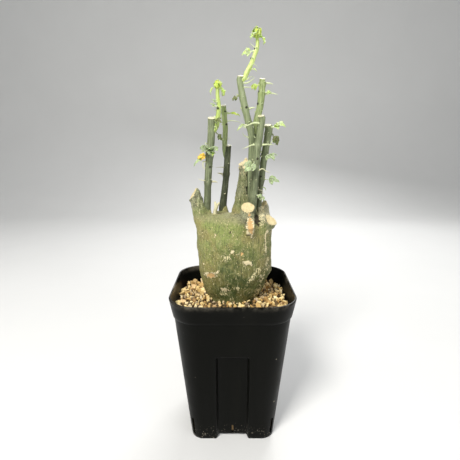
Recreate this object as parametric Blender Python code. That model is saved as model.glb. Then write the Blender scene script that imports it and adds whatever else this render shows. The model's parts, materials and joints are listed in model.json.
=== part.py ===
"""A caudex plant in a square nursery pot: a swollen woody base with pruned stubs, green stems
with side shoots, small leaves and spines, standing in a bed of pale grit.

The origin is the middle of the pot's underside, +Z is up and -Y is the plant's front.
Every size below is in metres. Run it with: blender --background --python part.py
"""

import math

import bpy
import bmesh
from mathutils import Matrix, Vector

MM = 0.001

# Clearances: neighbouring solids never share a face.
GAP = 0.35 * MM              # between two pieces that touch on the real plant

# The pot: a square nursery pot with a flared rim band and a drainage channel in each side.
POT_WIDTH = 90 * MM          # across the flats at the lip
POT_HEIGHT = 113 * MM
POT_BASE_WIDTH = 62.5 * MM
POT_WALL = 1.2 * MM
LIP_RADIUS = 20 * MM         # corner radius seen from above, at the lip
BASE_RADIUS = 9 * MM         # corner radius at the foot
BAND_HEIGHT = 13.8 * MM
BAND_FLARE = 2.4 * MM        # how far the band leans out from its lower edge to the lip
BAND_STEP = 0.7 * MM         # the ledge under the band
FOOT_WIDTH = 5 * MM
FOOT_HEIGHT = 1.8 * MM
CHANNEL_WIDTH = 23 * MM      # at its mouth
CHANNEL_FLOOR_WIDTH = 18.5 * MM
CHANNEL_DEPTH = 2.2 * MM
CHANNEL_TOP = 72 * MM
SLIT_WIDTH = 1.6 * MM
SLIT_TOP = 10 * MM
CORNER_SLIT_WIDTH = 3 * MM
CORNER_SLIT_TOP = 17 * MM
DRAIN_HOLE_RADIUS = 3 * MM
DRAIN_HOLE_CIRCLE = 15 * MM  # radius of the circle that the outer drain holes lie on
DRAIN_HOLES = 8

# The grit bed: full to just under the lip, a little lower at the back.
GRIT_HEADROOM = 8.5 * MM     # from the lip down to the grit at the front
GRIT_FALL = 3 * MM           # how much lower the grit lies at the back wall

# The caudex: widest at the shoulder, narrow where it enters the grit.
CAUDEX_HEIGHT = 66 * MM      # from the grit to the crown
CAUDEX_WIDTH = 59 * MM       # left to right, at the shoulder
CAUDEX_DEPTH = 43 * MM       # front to back, at the belly
CAUDEX_NECK_WIDTH = 39 * MM  # where it enters the grit
CAUDEX_BURIED = 28 * MM

# Stems and what grows on them.
STEM_DIAMETER = 5.2 * MM
SHOOT_DIAMETER = 3.2 * MM
SOCKET_DEPTH = 3 * MM        # how far a stem's foot is set into the crown
SPINE_DIAMETER = 1.1 * MM
LEAF_THICKNESS = 0.7 * MM
PETIOLE_DIAMETER = 1.1 * MM

# Heights that follow from the sizes above.
GRIT_TOP = POT_HEIGHT - GRIT_HEADROOM
CROWN = GRIT_TOP + CAUDEX_HEIGHT
BAND_FOOT = POT_HEIGHT - BAND_HEIGHT
BODY_TOP_WIDTH = POT_WIDTH - 2 * BAND_FLARE - 2 * BAND_STEP
POT_FLOOR = FOOT_HEIGHT + POT_WALL

RING_STEPS = 6               # facets in each rounded corner of the pot
TUBE_SIDES = 10


def clear_scene():
    for obj in list(bpy.data.objects):
        bpy.data.objects.remove(obj, do_unlink=True)


def material(name, colour, roughness, metallic=0.0):
    made = bpy.data.materials.new(name)
    made.use_nodes = True
    shader = made.node_tree.nodes["Principled BSDF"]
    shader.inputs["Base Color"].default_value = (*colour, 1.0)
    shader.inputs["Roughness"].default_value = roughness
    shader.inputs["Metallic"].default_value = metallic
    return made


def object_from(name, mesh_data, finish, parent=None):
    """Turns a bmesh into a named object with one material, its faces pointing out."""
    bmesh.ops.recalc_face_normals(mesh_data, faces=mesh_data.faces)
    mesh = bpy.data.meshes.new(name)
    mesh_data.to_mesh(mesh)
    mesh_data.free()
    mesh.materials.append(finish)
    mesh.shade_smooth()
    mesh.set_sharp_from_angle(angle=math.radians(35))
    made = bpy.data.objects.new(name, mesh)
    bpy.context.scene.collection.objects.link(made)
    made.parent = parent
    return made


def loft(rings, close_start=True, close_end=True):
    """A closed skin through rings of points, all of them with the same number of points."""
    mesh_data = bmesh.new()
    rows = [[mesh_data.verts.new(point) for point in ring] for ring in rings]
    for low, high in zip(rows, rows[1:]):
        count = len(low)
        for i in range(count):
            j = (i + 1) % count
            mesh_data.faces.new((low[i], low[j], high[j], high[i]))
    if close_start:
        mesh_data.faces.new(rows[0][::-1])
    if close_end:
        mesh_data.faces.new(rows[-1])
    return mesh_data


def add_boolean(target, tool, operation):
    cut = target.modifiers.new(f"{operation.lower()} {tool.name}", "BOOLEAN")
    cut.operation = operation
    cut.object = tool
    cut.solver = "EXACT"


def hide_tool(tool):
    """Marks a cutter, or a shape that only helps to make another."""
    tool.hide_render = True
    tool.display_type = "WIRE"


# ---------------------------------------------------------------- pot

def body_half_width(z):
    """Half the pot's width over its tapering body, which ends under the rim band."""
    share = z / BAND_FOOT
    return (POT_BASE_WIDTH + (BODY_TOP_WIDTH - POT_BASE_WIDTH) * share) / 2


def corner_radius(z):
    return BASE_RADIUS + (LIP_RADIUS - BASE_RADIUS) * z / POT_HEIGHT


def pot_ring(z, half_width, inset=0.0, channel=0.0, lift=0.0):
    """One rounded square around the pot. channel is how deep each side is pressed in at its
    middle, inset moves the whole ring inwards, and lift raises it over the channels."""
    half = half_width - inset
    radius = max(corner_radius(z) - inset, 2 * MM)
    mouth = CHANNEL_WIDTH / 2 + inset
    floor = CHANNEL_FLOOR_WIDTH / 2 + inset
    side = [(half - channel, 0.0, lift), (half - channel, floor, lift), (half, mouth, 0.0)]
    centre = half - radius
    for step in range(RING_STEPS + 1):
        angle = math.radians(90) * step / RING_STEPS
        x = centre + radius * math.cos(angle)
        y = centre + radius * math.sin(angle)
        side.append((x, y, 0.0))
    side += [(mouth, half, 0.0), (floor, half - channel, lift)]
    points = []
    for quarter in range(4):
        turn = Matrix.Rotation(math.radians(90) * quarter, 3, "Z")
        for x, y, up in side:
            points.append(turn @ Vector((x, y, z + up)))
    return points


def flat_ring(z, inset):
    """A ring on the pot's underside, inside the foot."""
    return pot_ring(z, body_half_width(0.0), inset, CHANNEL_DEPTH)


def make_pot(finish):
    lip = POT_WALL * 0.35
    band_low = body_half_width(BAND_FOOT) + BAND_STEP
    band_high = POT_WIDTH / 2
    slope = CHANNEL_DEPTH
    rings = [
        flat_ring(FOOT_HEIGHT, FOOT_WIDTH + FOOT_HEIGHT),
        pot_ring(0.0, body_half_width(0.0), FOOT_WIDTH, CHANNEL_DEPTH, FOOT_HEIGHT * 0.8),
        pot_ring(0.0, body_half_width(0.0), 0.0, CHANNEL_DEPTH, FOOT_HEIGHT * 0.8),
        pot_ring(SLIT_TOP, body_half_width(SLIT_TOP), 0.0, CHANNEL_DEPTH),
        pot_ring(CHANNEL_TOP - slope, body_half_width(CHANNEL_TOP - slope), 0.0, CHANNEL_DEPTH),
        pot_ring(CHANNEL_TOP, body_half_width(CHANNEL_TOP)),
        pot_ring(BAND_FOOT - BAND_STEP / 2, body_half_width(BAND_FOOT)),
        pot_ring(BAND_FOOT, band_low),
        pot_ring(POT_HEIGHT - lip, band_high),
        pot_ring(POT_HEIGHT, band_high, lip),
        pot_ring(POT_HEIGHT, band_high, POT_WALL),
        pot_ring(BAND_FOOT, body_half_width(BAND_FOOT), POT_WALL),
        pot_ring(CHANNEL_TOP + POT_WALL, body_half_width(CHANNEL_TOP + POT_WALL), POT_WALL),
        pot_ring(CHANNEL_TOP - slope + POT_WALL, body_half_width(CHANNEL_TOP), POT_WALL,
                 CHANNEL_DEPTH),
        pot_ring(POT_FLOOR, body_half_width(POT_FLOOR), POT_WALL, CHANNEL_DEPTH),
    ]
    pot = object_from("pot", loft(rings), finish)
    for tool in [*drain_hole_tools(), *slit_tools()]:
        add_boolean(pot, tool, "DIFFERENCE")
    return pot


def box_tool(name, size, centre, turn):
    """A box to cut with, turned about the pot's axis."""
    mesh_data = bmesh.new()
    bmesh.ops.create_cube(mesh_data, size=1.0)
    bmesh.ops.scale(mesh_data, vec=size, verts=mesh_data.verts)
    bmesh.ops.translate(mesh_data, vec=centre, verts=mesh_data.verts)
    bmesh.ops.rotate(mesh_data, matrix=Matrix.Rotation(turn, 3, "Z"), verts=mesh_data.verts)
    tool = object_from(name, mesh_data, bpy.data.materials["tool"])
    hide_tool(tool)
    return tool


def slit_tools():
    """A slit up the middle of each channel, and one up each corner of the pot."""
    tools = []
    half = body_half_width(0.0)
    corner = (half - BASE_RADIUS) * math.sqrt(2) + BASE_RADIUS
    reach = 4 * POT_WALL + CHANNEL_DEPTH
    for quarter in range(4):
        turn = math.radians(90) * quarter
        tall = SLIT_TOP - POT_FLOOR
        middle = POT_FLOOR + tall / 2
        tools.append(box_tool(f"side slit {quarter}", (reach, SLIT_WIDTH, tall),
                              (half - CHANNEL_DEPTH, 0.0, middle), turn))
        tall = CORNER_SLIT_TOP - POT_FLOOR
        middle = POT_FLOOR + tall / 2
        tools.append(box_tool(f"corner slit {quarter}", (reach, CORNER_SLIT_WIDTH, tall),
                              (corner, 0.0, middle), turn + math.radians(45)))
    return tools


def drain_hole_tools():
    """A round hole in the middle of the pot's floor and a circle of them around it."""
    places = [(0.0, 0.0)]
    for i in range(DRAIN_HOLES):
        angle = 2 * math.pi * (i + 0.5) / DRAIN_HOLES
        places.append((DRAIN_HOLE_CIRCLE * math.cos(angle), DRAIN_HOLE_CIRCLE * math.sin(angle)))
    tools = []
    for i, (x, y) in enumerate(places):
        mesh_data = bmesh.new()
        bmesh.ops.create_cone(mesh_data, cap_ends=True, segments=12, radius1=DRAIN_HOLE_RADIUS,
                              radius2=DRAIN_HOLE_RADIUS, depth=6 * POT_FLOOR)
        bmesh.ops.translate(mesh_data, vec=(x, y, 0.0), verts=mesh_data.verts)
        tool = object_from(f"drain hole {i}", mesh_data, bpy.data.materials["tool"])
        hide_tool(tool)
        tools.append(tool)
    return tools


# ---------------------------------------------------------------- grit

def grit_height(y):
    """The bed's surface falls from the front of the pot to the back wall."""
    share = (y + POT_WIDTH / 2) / POT_WIDTH
    return GRIT_TOP - GRIT_FALL * share * share


def make_grit_bed(finish, pocket):
    """What the pot is filled with, down to its floor, with a pocket where the caudex stands."""
    inset = POT_WALL + GAP
    slope = CHANNEL_DEPTH
    top_half = body_half_width(BAND_FOOT)
    low = POT_FLOOR + GAP
    surface = [Vector((p.x, p.y, grit_height(p.y))) for p in pot_ring(BAND_FOOT, top_half, inset)]
    inner = [Vector((p.x * 0.6, p.y * 0.6, grit_height(p.y * 0.6))) for p in surface]
    rings = [
        pot_ring(low, body_half_width(low), inset, CHANNEL_DEPTH),
        pot_ring(CHANNEL_TOP - slope + inset, body_half_width(CHANNEL_TOP), inset + GAP,
                 CHANNEL_DEPTH),
        pot_ring(CHANNEL_TOP + inset + GAP, body_half_width(CHANNEL_TOP), inset + GAP),
        surface,
        inner,
    ]
    bed = object_from("grit_bed", loft(rings), finish)
    add_boolean(bed, pocket, "DIFFERENCE")
    return bed


# ---------------------------------------------------------------- caudex

CAUDEX_SIDES = 28

# Each row is one level of the caudex: its height as a share of CAUDEX_HEIGHT, how far its
# middle lies to the right as a share of the width, and its width and depth as shares of theirs.
CAUDEX_LEVELS = [
    (0.08, 0.01, 0.77, 0.86),
    (0.17, 0.02, 0.84, 0.93),
    (0.30, 0.03, 0.94, 0.98),
    (0.46, 0.03, 0.94, 1.00),
    (0.68, 0.02, 0.95, 0.98),
    (0.84, 0.02, 0.99, 0.90),
    (0.92, 0.02, 0.95, 0.82),
    (0.965, 0.02, 0.86, 0.70),
    (0.985, 0.02, 0.60, 0.44),
]


def caudex_ring(z, shift, width, depth, swell=0.0):
    points = []
    for i in range(CAUDEX_SIDES):
        angle = 2 * math.pi * i / CAUDEX_SIDES
        x = shift + (width / 2 + swell) * math.cos(angle)
        y = (depth / 2 + swell) * math.sin(angle)
        points.append(Vector((x, y, z)))
    return points


def buried_rings(swell=0.0):
    """The rounded foot of the caudex, from its tip up to the grit's surface."""
    neck_depth = CAUDEX_NECK_WIDTH * 0.88
    rings = []
    for share in (0.0, 0.12, 0.4, 0.75, 1.0):
        z = GRIT_TOP - CAUDEX_BURIED * (1 - share)
        round_off = math.sqrt(1 - (1 - 0.9 * share - 0.02) ** 2)
        width = CAUDEX_NECK_WIDTH * round_off
        depth = neck_depth * round_off
        rings.append(caudex_ring(z - swell, 0.0, width, depth, swell))
    return rings


def make_pocket():
    """The hollow that the caudex's foot fills, a clearance wider than it all round."""
    rings = buried_rings(GAP)
    above = [p + Vector((0.0, 0.0, GRIT_HEADROOM)) for p in rings[-1]]
    pocket = object_from("caudex pocket", loft([*rings, above]), bpy.data.materials["tool"])
    hide_tool(pocket)
    return pocket


def crown_point(across, back, rise=0.0):
    """A place on the crown: across and back run from -1 to 1 over its width and depth, and
    rise is a height over the crown in metres."""
    return Vector((across * CAUDEX_WIDTH / 2, back * CAUDEX_DEPTH / 2, CROWN + rise))


def frame_along(directions):
    """Two axes across each direction that turn as little as possible along the row."""
    side = directions[0].orthogonal().normalized()
    frames = []
    for direction in directions:
        side = (side - direction * side.dot(direction)).normalized()
        frames.append((side, direction.cross(side)))
    return frames


def tube(points, radii, sides=TUBE_SIDES, end_normal=None, start_normal=None):
    """A round tube through the points, one radius at each. end_normal and start_normal cut
    an end aslant instead of square to the tube."""
    points = [Vector(p) for p in points]
    last = len(points) - 1
    directions = []
    for i in range(len(points)):
        directions.append((points[min(i + 1, last)] - points[max(i - 1, 0)]).normalized())
    rings = []
    for i, (side, up) in enumerate(frame_along(directions)):
        ring = []
        for k in range(sides):
            angle = 2 * math.pi * k / sides
            ring.append(points[i] + radii[i] * (side * math.cos(angle) + up * math.sin(angle)))
        normal = {0: start_normal, last: end_normal}.get(i)
        if normal is not None:
            normal = Vector(normal).normalized()
            along = directions[i]
            ring = [p - along * (p - points[i]).dot(normal) / along.dot(normal) for p in ring]
        rings.append(ring)
    return loft(rings)


def smooth_route(points, steps=3):
    """Points of a Catmull-Rom curve through the given ones, so that a stem bends evenly."""
    points = [Vector(p) for p in points]
    ends = [2 * points[0] - points[1], *points, 2 * points[-1] - points[-2]]
    route = []
    for a, b, c, d in zip(ends, ends[1:], ends[2:], ends[3:]):
        for step in range(steps):
            t = step / steps
            route.append(0.5 * (2 * b + (c - a) * t + (2 * a - 5 * b + 4 * c - d) * t * t
                                + (3 * b - a - 3 * c + d) * t ** 3))
    route.append(points[-1])
    return route


# Pruned stubs: each rises out of the crown and ends in a cut. A stub's points are places on
# the crown with their rise in millimetres, and its radii are in millimetres.
STUBS = {
    "left horn": {
        "route": [(-0.60, -0.06, -24), (-0.72, -0.10, -9), (-0.85, -0.10, 3), (-0.96, -0.10, 12.5)],
        "radii": [7.0, 6.8, 5.6, 4.6], "cut": (-0.70, -0.35, 0.62),
    },
    "tall stub": {
        "route": [(0.12, 0.10, -12), (0.15, 0.15, 0), (0.19, 0.18, 10), (0.24, 0.20, 22),
                  (0.29, 0.21, 32), (0.34, 0.21, 37.5)],
        "radii": [9.0, 4.7, 3.5, 3.3, 3.0, 2.0], "cut": (0.35, -0.2, 0.9),
    },
    "front stub": {
        "route": [(0.36, -0.30, -20), (0.36, -0.56, -9), (0.36, -0.68, 4)],
        "radii": [8.5, 6.0, 4.7], "cut": (0.0, -0.62, 0.78),
    },
    "split scar": {
        "route": [(0.40, -0.72, -20), (0.40, -0.86, -13), (0.42, -0.98, -5)],
        "radii": [3.4, 2.8, 2.4], "cut": (0.1, -0.93, 0.35),
    },
    "right stub": {
        "route": [(0.62, -0.05, -20), (0.80, -0.12, -12), (0.96, -0.18, -7)],
        "radii": [9.5, 6.6, 4.8], "cut": (0.62, -0.34, 0.70),
    },
    "back stub": {
        "route": [(0.72, 0.34, -14), (0.82, 0.36, -3), (0.80, 0.36, 4)],
        "radii": [7.5, 4.4, 2.6], "cut": (-0.45, -0.45, 0.77),
    },
}

# ---------------------------------------------------------------- stems

# A stem's foot is a place on the crown. Its route is where it passes, in millimetres over
# and beside its foot, and girth is its diameter at each of those points as a share of
# STEM_DIAMETER.
STEMS = {
    "stem_left": {
        "foot": (-0.64, -0.09),
        "route": [(0, 0, 0), (1, 0, 20), (1.8, -0.3, 32), (2.6, -0.5, 41), (3.6, -0.5, 50),
                  (4.3, -1, 65)],
        "girth": [1.05, 0.98, 1.0, 1.06, 1.02, 1.04],
    },
    "stem_middle": {
        "foot": (-0.27, 0.54),
        "route": [(0, 0, 0), (1.6, 0, 10), (2.8, 0, 20), (3.7, 0, 31), (4.7, 0.5, 47)],
        "girth": [1.2, 1.0, 0.93, 0.93, 0.92],
    },
    "stem_tall": {
        "foot": (0.44, 0.09),
        "route": [(0, 0, 0), (0, -0.5, 22), (0.4, -0.5, 33), (0.8, -0.5, 46), (0.5, -0.5, 53),
                  (-0.9, -0.5, 59), (-3, -0.5, 67), (-6.2, -0.5, 80), (-8.7, -0.5, 93)],
        "girth": [0.9, 0.9, 0.9, 0.88, 0.9, 0.92, 0.92, 0.9, 0.8],
    },
    "stem_forked": {
        "foot": (0.53, 0.44),
        "route": [(0, 0, 0), (0.6, 0, 22), (1, 0, 40), (1.4, 0, 60)],
        "girth": [0.95, 0.88, 0.86, 0.86],
    },
    "stem_front": {
        "foot": (0.48, -0.28),
        "route": [(0, 0, 0), (1.4, 0, 13), (1.6, 0, 20), (2.3, 0, 33), (3.2, 0, 43.5),
                  (5.1, 0, 56.5), (6.4, 0, 66)],
        "girth": [0.95, 0.98, 0.97, 0.97, 0.95, 0.9, 0.88],
    },
    "stem_right": {
        "foot": (0.65, 0.10),
        "route": [(0, 0, 0), (1.2, 0, 15), (2, 0, 21), (3.1, 0, 33), (5.4, 0, 49),
                  (7.1, 0.5, 60.5)],
        "girth": [0.78, 0.78, 0.82, 0.92, 0.98, 0.98],
    },
}

# A shoot leaves the side of its parent at a height over that stem's foot, and its route is
# counted from the parent's middle there. girth is a share of SHOOT_DIAMETER.
SHOOTS = {
    "shoot_left": {
        "parent": "stem_left", "height": 58,
        "route": [(0, 0, 0), (3.2, -0.3, 1.8), (4.4, -0.4, 6), (5.2, -0.4, 12), (5.2, -0.4, 16),
                  (4.4, -0.4, 22), (4.7, -0.4, 26.5)],
        "girth": [1.0, 1.0, 1.0, 0.96, 0.9, 0.8, 0.75],
    },
    "shoot_middle": {
        "parent": "stem_middle", "height": 40,
        "route": [(0, 0, 0), (-0.8, -3.0, 2.2), (-1.1, -3.9, 7), (-1.4, -4, 15.5), (-2, -4, 23.4),
                  (-2.7, -4, 31.4), (-2.9, -4, 34.8)],
        "girth": [1.0, 1.15, 1.2, 1.22, 1.2, 1.15, 1.1],
    },
    "shoot_tall": {
        "parent": "stem_tall", "height": 88,
        "route": [(0, 0, 0), (2.6, 0, 3), (5.2, 0, 8.5), (7.7, 0, 13), (9.7, 0, 18),
                  (11.2, 0, 22.5), (11.6, 0, 26), (11.1, 0, 29.5)],
        "girth": [1.0, 1.08, 1.08, 1.0, 0.9, 0.8, 0.72, 0.66],
    },
    "shoot_forked": {
        "parent": "stem_forked", "height": 56,
        "route": [(0, 0, 0), (-0.2, -2.6, 5), (0.9, -3, 10), (2.6, -3, 16.5), (3.6, -3, 24.5),
                  (4, -3, 31), (4.2, -3, 36.5)],
        "girth": [1.0, 1.3, 1.45, 1.5, 1.5, 1.4, 1.1],
    },
}


def socket_foot(stem):
    """Where a stem's foot ends, below the crown's surface."""
    return crown_point(*stem["foot"], rise=-SOCKET_DEPTH)


def stem_route(name):
    """The points that a stem or a shoot passes through, in metres."""
    if name in STEMS:
        foot = crown_point(*STEMS[name]["foot"])
        points = [foot + Vector(p) * MM for p in STEMS[name]["route"]]
        return smooth_route([socket_foot(STEMS[name]), *points[1:]])
    shoot = SHOOTS[name]
    start, _ = point_on(shoot["parent"], shoot["height"])
    return smooth_route([start + Vector(p) * MM for p in shoot["route"]])


def girths(name):
    """The radius at each point of stem_route(name)."""
    spec, diameter = (STEMS, STEM_DIAMETER) if name in STEMS else (SHOOTS, SHOOT_DIAMETER)
    shares = spec[name]["girth"]
    radii = []
    for a, b in zip(shares, shares[1:]):
        radii += [diameter / 2 * (a + (b - a) * step / 3) for step in range(3)]
    return [*radii, diameter / 2 * shares[-1]]


def point_on(name, height):
    """The middle of a stem at a height, in millimetres, over its lowest route point, and its
    radius there."""
    route, radii = stem_route(name), girths(name)
    base = crown_point(0, 0).z if name in STEMS else route[0].z
    level = base + height * MM
    for (a, ra), (b, rb) in zip(zip(route, radii), zip(route[1:], radii[1:])):
        if a.z <= level <= b.z:
            share = (level - a.z) / (b.z - a.z)
            return a.lerp(b, share), ra + (rb - ra) * share
    return route[-1], radii[-1]


def make_stem(name, finish, parent):
    return object_from(name, tube(stem_route(name), girths(name)), finish, parent)


def make_socket(name):
    """The hole in the crown that a stem's foot sits in."""
    route = stem_route(name)
    radii = [r + GAP for r in girths(name)]
    route[0] = route[0] - Vector((0.0, 0.0, GAP))
    keep = 8
    socket = object_from(f"{name} socket", tube(route[:keep], radii[:keep]),
                         bpy.data.materials["tool"])
    hide_tool(socket)
    return socket


def make_parent_sleeve(name):
    """The parent stem, a clearance thicker: it shapes the foot of a shoot that grows on it."""
    parent = SHOOTS[name]["parent"]
    sleeve = object_from(f"{name} sleeve",
                         tube(stem_route(parent), [r + GAP for r in girths(parent)]),
                         bpy.data.materials["tool"])
    hide_tool(sleeve)
    return sleeve


def make_caudex(finish):
    rings = buried_rings()[:-1]
    neck_depth = CAUDEX_NECK_WIDTH * 0.88
    rings.append(caudex_ring(GRIT_TOP, 0.0, CAUDEX_NECK_WIDTH, neck_depth))
    for height, shift, width, depth in CAUDEX_LEVELS:
        rings.append(caudex_ring(GRIT_TOP + height * CAUDEX_HEIGHT, shift * CAUDEX_WIDTH,
                                 width * CAUDEX_WIDTH, depth * CAUDEX_DEPTH))
    caudex = object_from("caudex", loft(rings), finish)
    for name, stub in STUBS.items():
        route = [crown_point(x, y, rise * MM) for x, y, rise in stub["route"]]
        radii = [r * MM for r in stub["radii"]]
        tool = object_from(name, tube(route, radii, 12, stub["cut"]), finish)
        hide_tool(tool)
        add_boolean(caudex, tool, "UNION")
    for name in STEMS:
        add_boolean(caudex, make_socket(name), "DIFFERENCE")
    return caudex


# ---------------------------------------------------------------- leaves, tips and spines

def leaf_blade(start, toward, up, length, width, droop):
    """A folded leaf with its stalk: one closed body that starts square to the stem."""
    along = Vector(toward).normalized()
    side = along.cross(Vector(up)).normalized()
    rise = side.cross(along)
    stations = [(0.0, 0.0), (0.28, 0.0), (0.42, 0.7), (0.62, 1.0), (0.84, 0.55), (1.0, 0.0)]
    rings = []
    for share, spread in stations:
        middle = start + along * length * share - rise * droop * length * share * share
        half = PETIOLE_DIAMETER / 2 + (width / 2 - PETIOLE_DIAMETER / 2) * spread
        thick = (PETIOLE_DIAMETER + (LEAF_THICKNESS - PETIOLE_DIAMETER) * min(1, 2 * share)) / 2
        fold = rise * half * 0.35 * spread
        rings.append([middle - side * half + fold - rise * thick * 0.3,
                      middle - rise * thick,
                      middle + side * half + fold - rise * thick * 0.3,
                      middle + side * half + fold + rise * thick * 0.3,
                      middle + rise * thick,
                      middle - side * half + fold + rise * thick * 0.3])
    return loft(rings)


# Each leaf: the stem it grows on, its height over that stem's foot, the compass direction it
# leaves in (0 to the right, 90 to the back), its pitch over the level, and its length, width
# and droop. Angles are in degrees and sizes in millimetres.
LEAVES = {
    "leaf_left_green": ("stem_left", 42, 250, 10, 9, 8.5, 0.2),
    "leaf_left_yellow": ("stem_left", 39.5, 200, -15, 10.5, 5, 0.35),
    "leaf_left_dark": ("stem_left", 54, 12, 0, 6, 4, 0.15),
    "leaf_middle": ("shoot_middle", 30, 10, 5, 10, 3, 0.5),
    "leaf_tall_left": ("stem_tall", 79, 185, 0, 4.5, 3, 0.1),
    "leaf_tall_blade": ("stem_tall", 60.5, 222, 5, 9.5, 2.4, 0.4),
    "leaf_front": ("stem_front", 34, 228, 10, 9.5, 8, 0.6),
    "leaf_forked_curl": ("shoot_forked", 32, 190, 30, 6, 4, 0.5),
    "leaf_right_top": ("stem_right", 58.5, 305, 25, 9, 7, 0.6),
    "leaf_right_dark": ("stem_right", 55, 10, -40, 7, 5, 0.2),
    "leaf_right_middle": ("stem_right", 41, 295, -10, 8, 6, 0.3),
    "leaf_right_low": ("stem_right", 22, 330, 0, 9.5, 5.5, 0.2),
    "leaf_bead": ("stem_right", 9, 292, 20, 5, 3.0, 0.2),
    "leaf_shoot_tall": ("shoot_tall", 22, 180, 5, 6, 5, 0.3),
}

# Spines and dry tendrils: the stem, height, direction, pitch and length, as for leaves.
SPINES = {
    "spine_front": ("stem_front", 46, 0, 5, 7.5),
    "spine_forked": ("shoot_forked", 32.5, 350, 0, 4.5),
    "spine_forked_low": ("shoot_forked", 27, 350, -12, 8),
    "spine_tall": ("stem_tall", 72, 0, 0, 4),
    "spine_middle": ("stem_middle", 26, 180, 0, 3.5),
    "spine_left": ("stem_left", 20, 10, 5, 3.5),
}

TIPS = {"tip_left": ("shoot_left", 4.8), "tip_tall": ("shoot_tall", 6.2)}


def leaving(direction, pitch):
    """The unit vector for a compass direction and a pitch over the level, in degrees."""
    turn, rise = math.radians(direction), math.radians(pitch)
    return Vector((math.cos(turn) * math.cos(rise), math.sin(turn) * math.cos(rise),
                   math.sin(rise)))


def side_of(stem, height, direction, reach):
    """A point just off a stem's side: reach is the half thickness of what grows there."""
    middle, radius = point_on(stem, height)
    return middle + leaving(direction, 0) * (radius * 1.05 + GAP + reach * 0.5)


def make_leaf(name, finish, parent):
    stem, height, direction, pitch, length, width, droop = LEAVES[name]
    start = side_of(stem, height, direction, PETIOLE_DIAMETER)
    blade = leaf_blade(start, leaving(direction, pitch), (0, 0, 1), length * MM, width * MM, droop)
    return object_from(name, blade, finish, parent)


def make_spine(name, finish, parent):
    stem, height, direction, pitch, length = SPINES[name]
    start = side_of(stem, height, direction, SPINE_DIAMETER)
    tip = start + leaving(direction, pitch) * length * MM
    radii = [SPINE_DIAMETER / 2, SPINE_DIAMETER * 0.36, SPINE_DIAMETER * 0.12]
    return object_from(name, tube([start, start.lerp(tip, 0.55), tip], radii, 6), finish, parent)


def make_tip(name, finish, parent):
    """The knot of unopened leaves at the end of a shoot."""
    shoot, diameter = TIPS[name]
    end = stem_route(shoot)[-1]
    radius = diameter * MM / 2
    mesh_data = bmesh.new()
    bmesh.ops.create_icosphere(mesh_data, subdivisions=2, radius=radius)
    bmesh.ops.translate(mesh_data, vec=end + Vector((0.0, 0.0, radius + GAP)),
                        verts=mesh_data.verts)
    return object_from(name, mesh_data, finish, parent)


# ---------------------------------------------------------------- assembly

def main():
    clear_scene()
    material("tool", (0.8, 0.2, 0.2), 0.5)
    plastic = material("black plastic", (0.012, 0.012, 0.012), 0.42)
    grit = material("pale grit", (0.72, 0.60, 0.40), 0.9)
    bark = material("green bark", (0.20, 0.25, 0.12), 0.7)
    stem_skin = material("stem skin", (0.22, 0.30, 0.17), 0.5)
    shoot_skin = material("shoot skin", (0.42, 0.55, 0.14), 0.45)
    leaf_skin = material("leaf", (0.28, 0.42, 0.18), 0.5)
    dry = material("dry spine", (0.62, 0.55, 0.36), 0.7)

    plant = bpy.data.objects.new("plant", None)
    bpy.context.scene.collection.objects.link(plant)

    make_pot(plastic)
    make_grit_bed(grit, make_pocket())
    caudex = make_caudex(bark)
    caudex.parent = plant
    for name in STEMS:
        make_stem(name, stem_skin, plant)
    for name in SHOOTS:
        shoot = make_stem(name, shoot_skin, plant)
        add_boolean(shoot, make_parent_sleeve(name), "DIFFERENCE")
    for name in LEAVES:
        make_leaf(name, leaf_skin, plant)
    for name in TIPS:
        make_tip(name, leaf_skin, plant)
    for name in SPINES:
        make_spine(name, dry, plant)


main()
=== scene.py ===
# %% [markdown]
# # A potted caudex plant
# A caudex is the swollen, woody base in which some climbing plants store water. This one stands
# in pale grit in a deep square nursery pot. It was pruned hard, so its crown ends in corky stubs,
# and thin blue-green stems, lime shoots and small lobed leaves have grown out of it since.
#
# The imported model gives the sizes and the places. Each cell below makes one piece, or one finish,
# around it. The first cell loads that model and keeps its box.

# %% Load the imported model
import contextlib
import json
import math
import random

import bmesh
import bpy
import numpy as np
from mathutils import Matrix, Vector, noise

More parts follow.
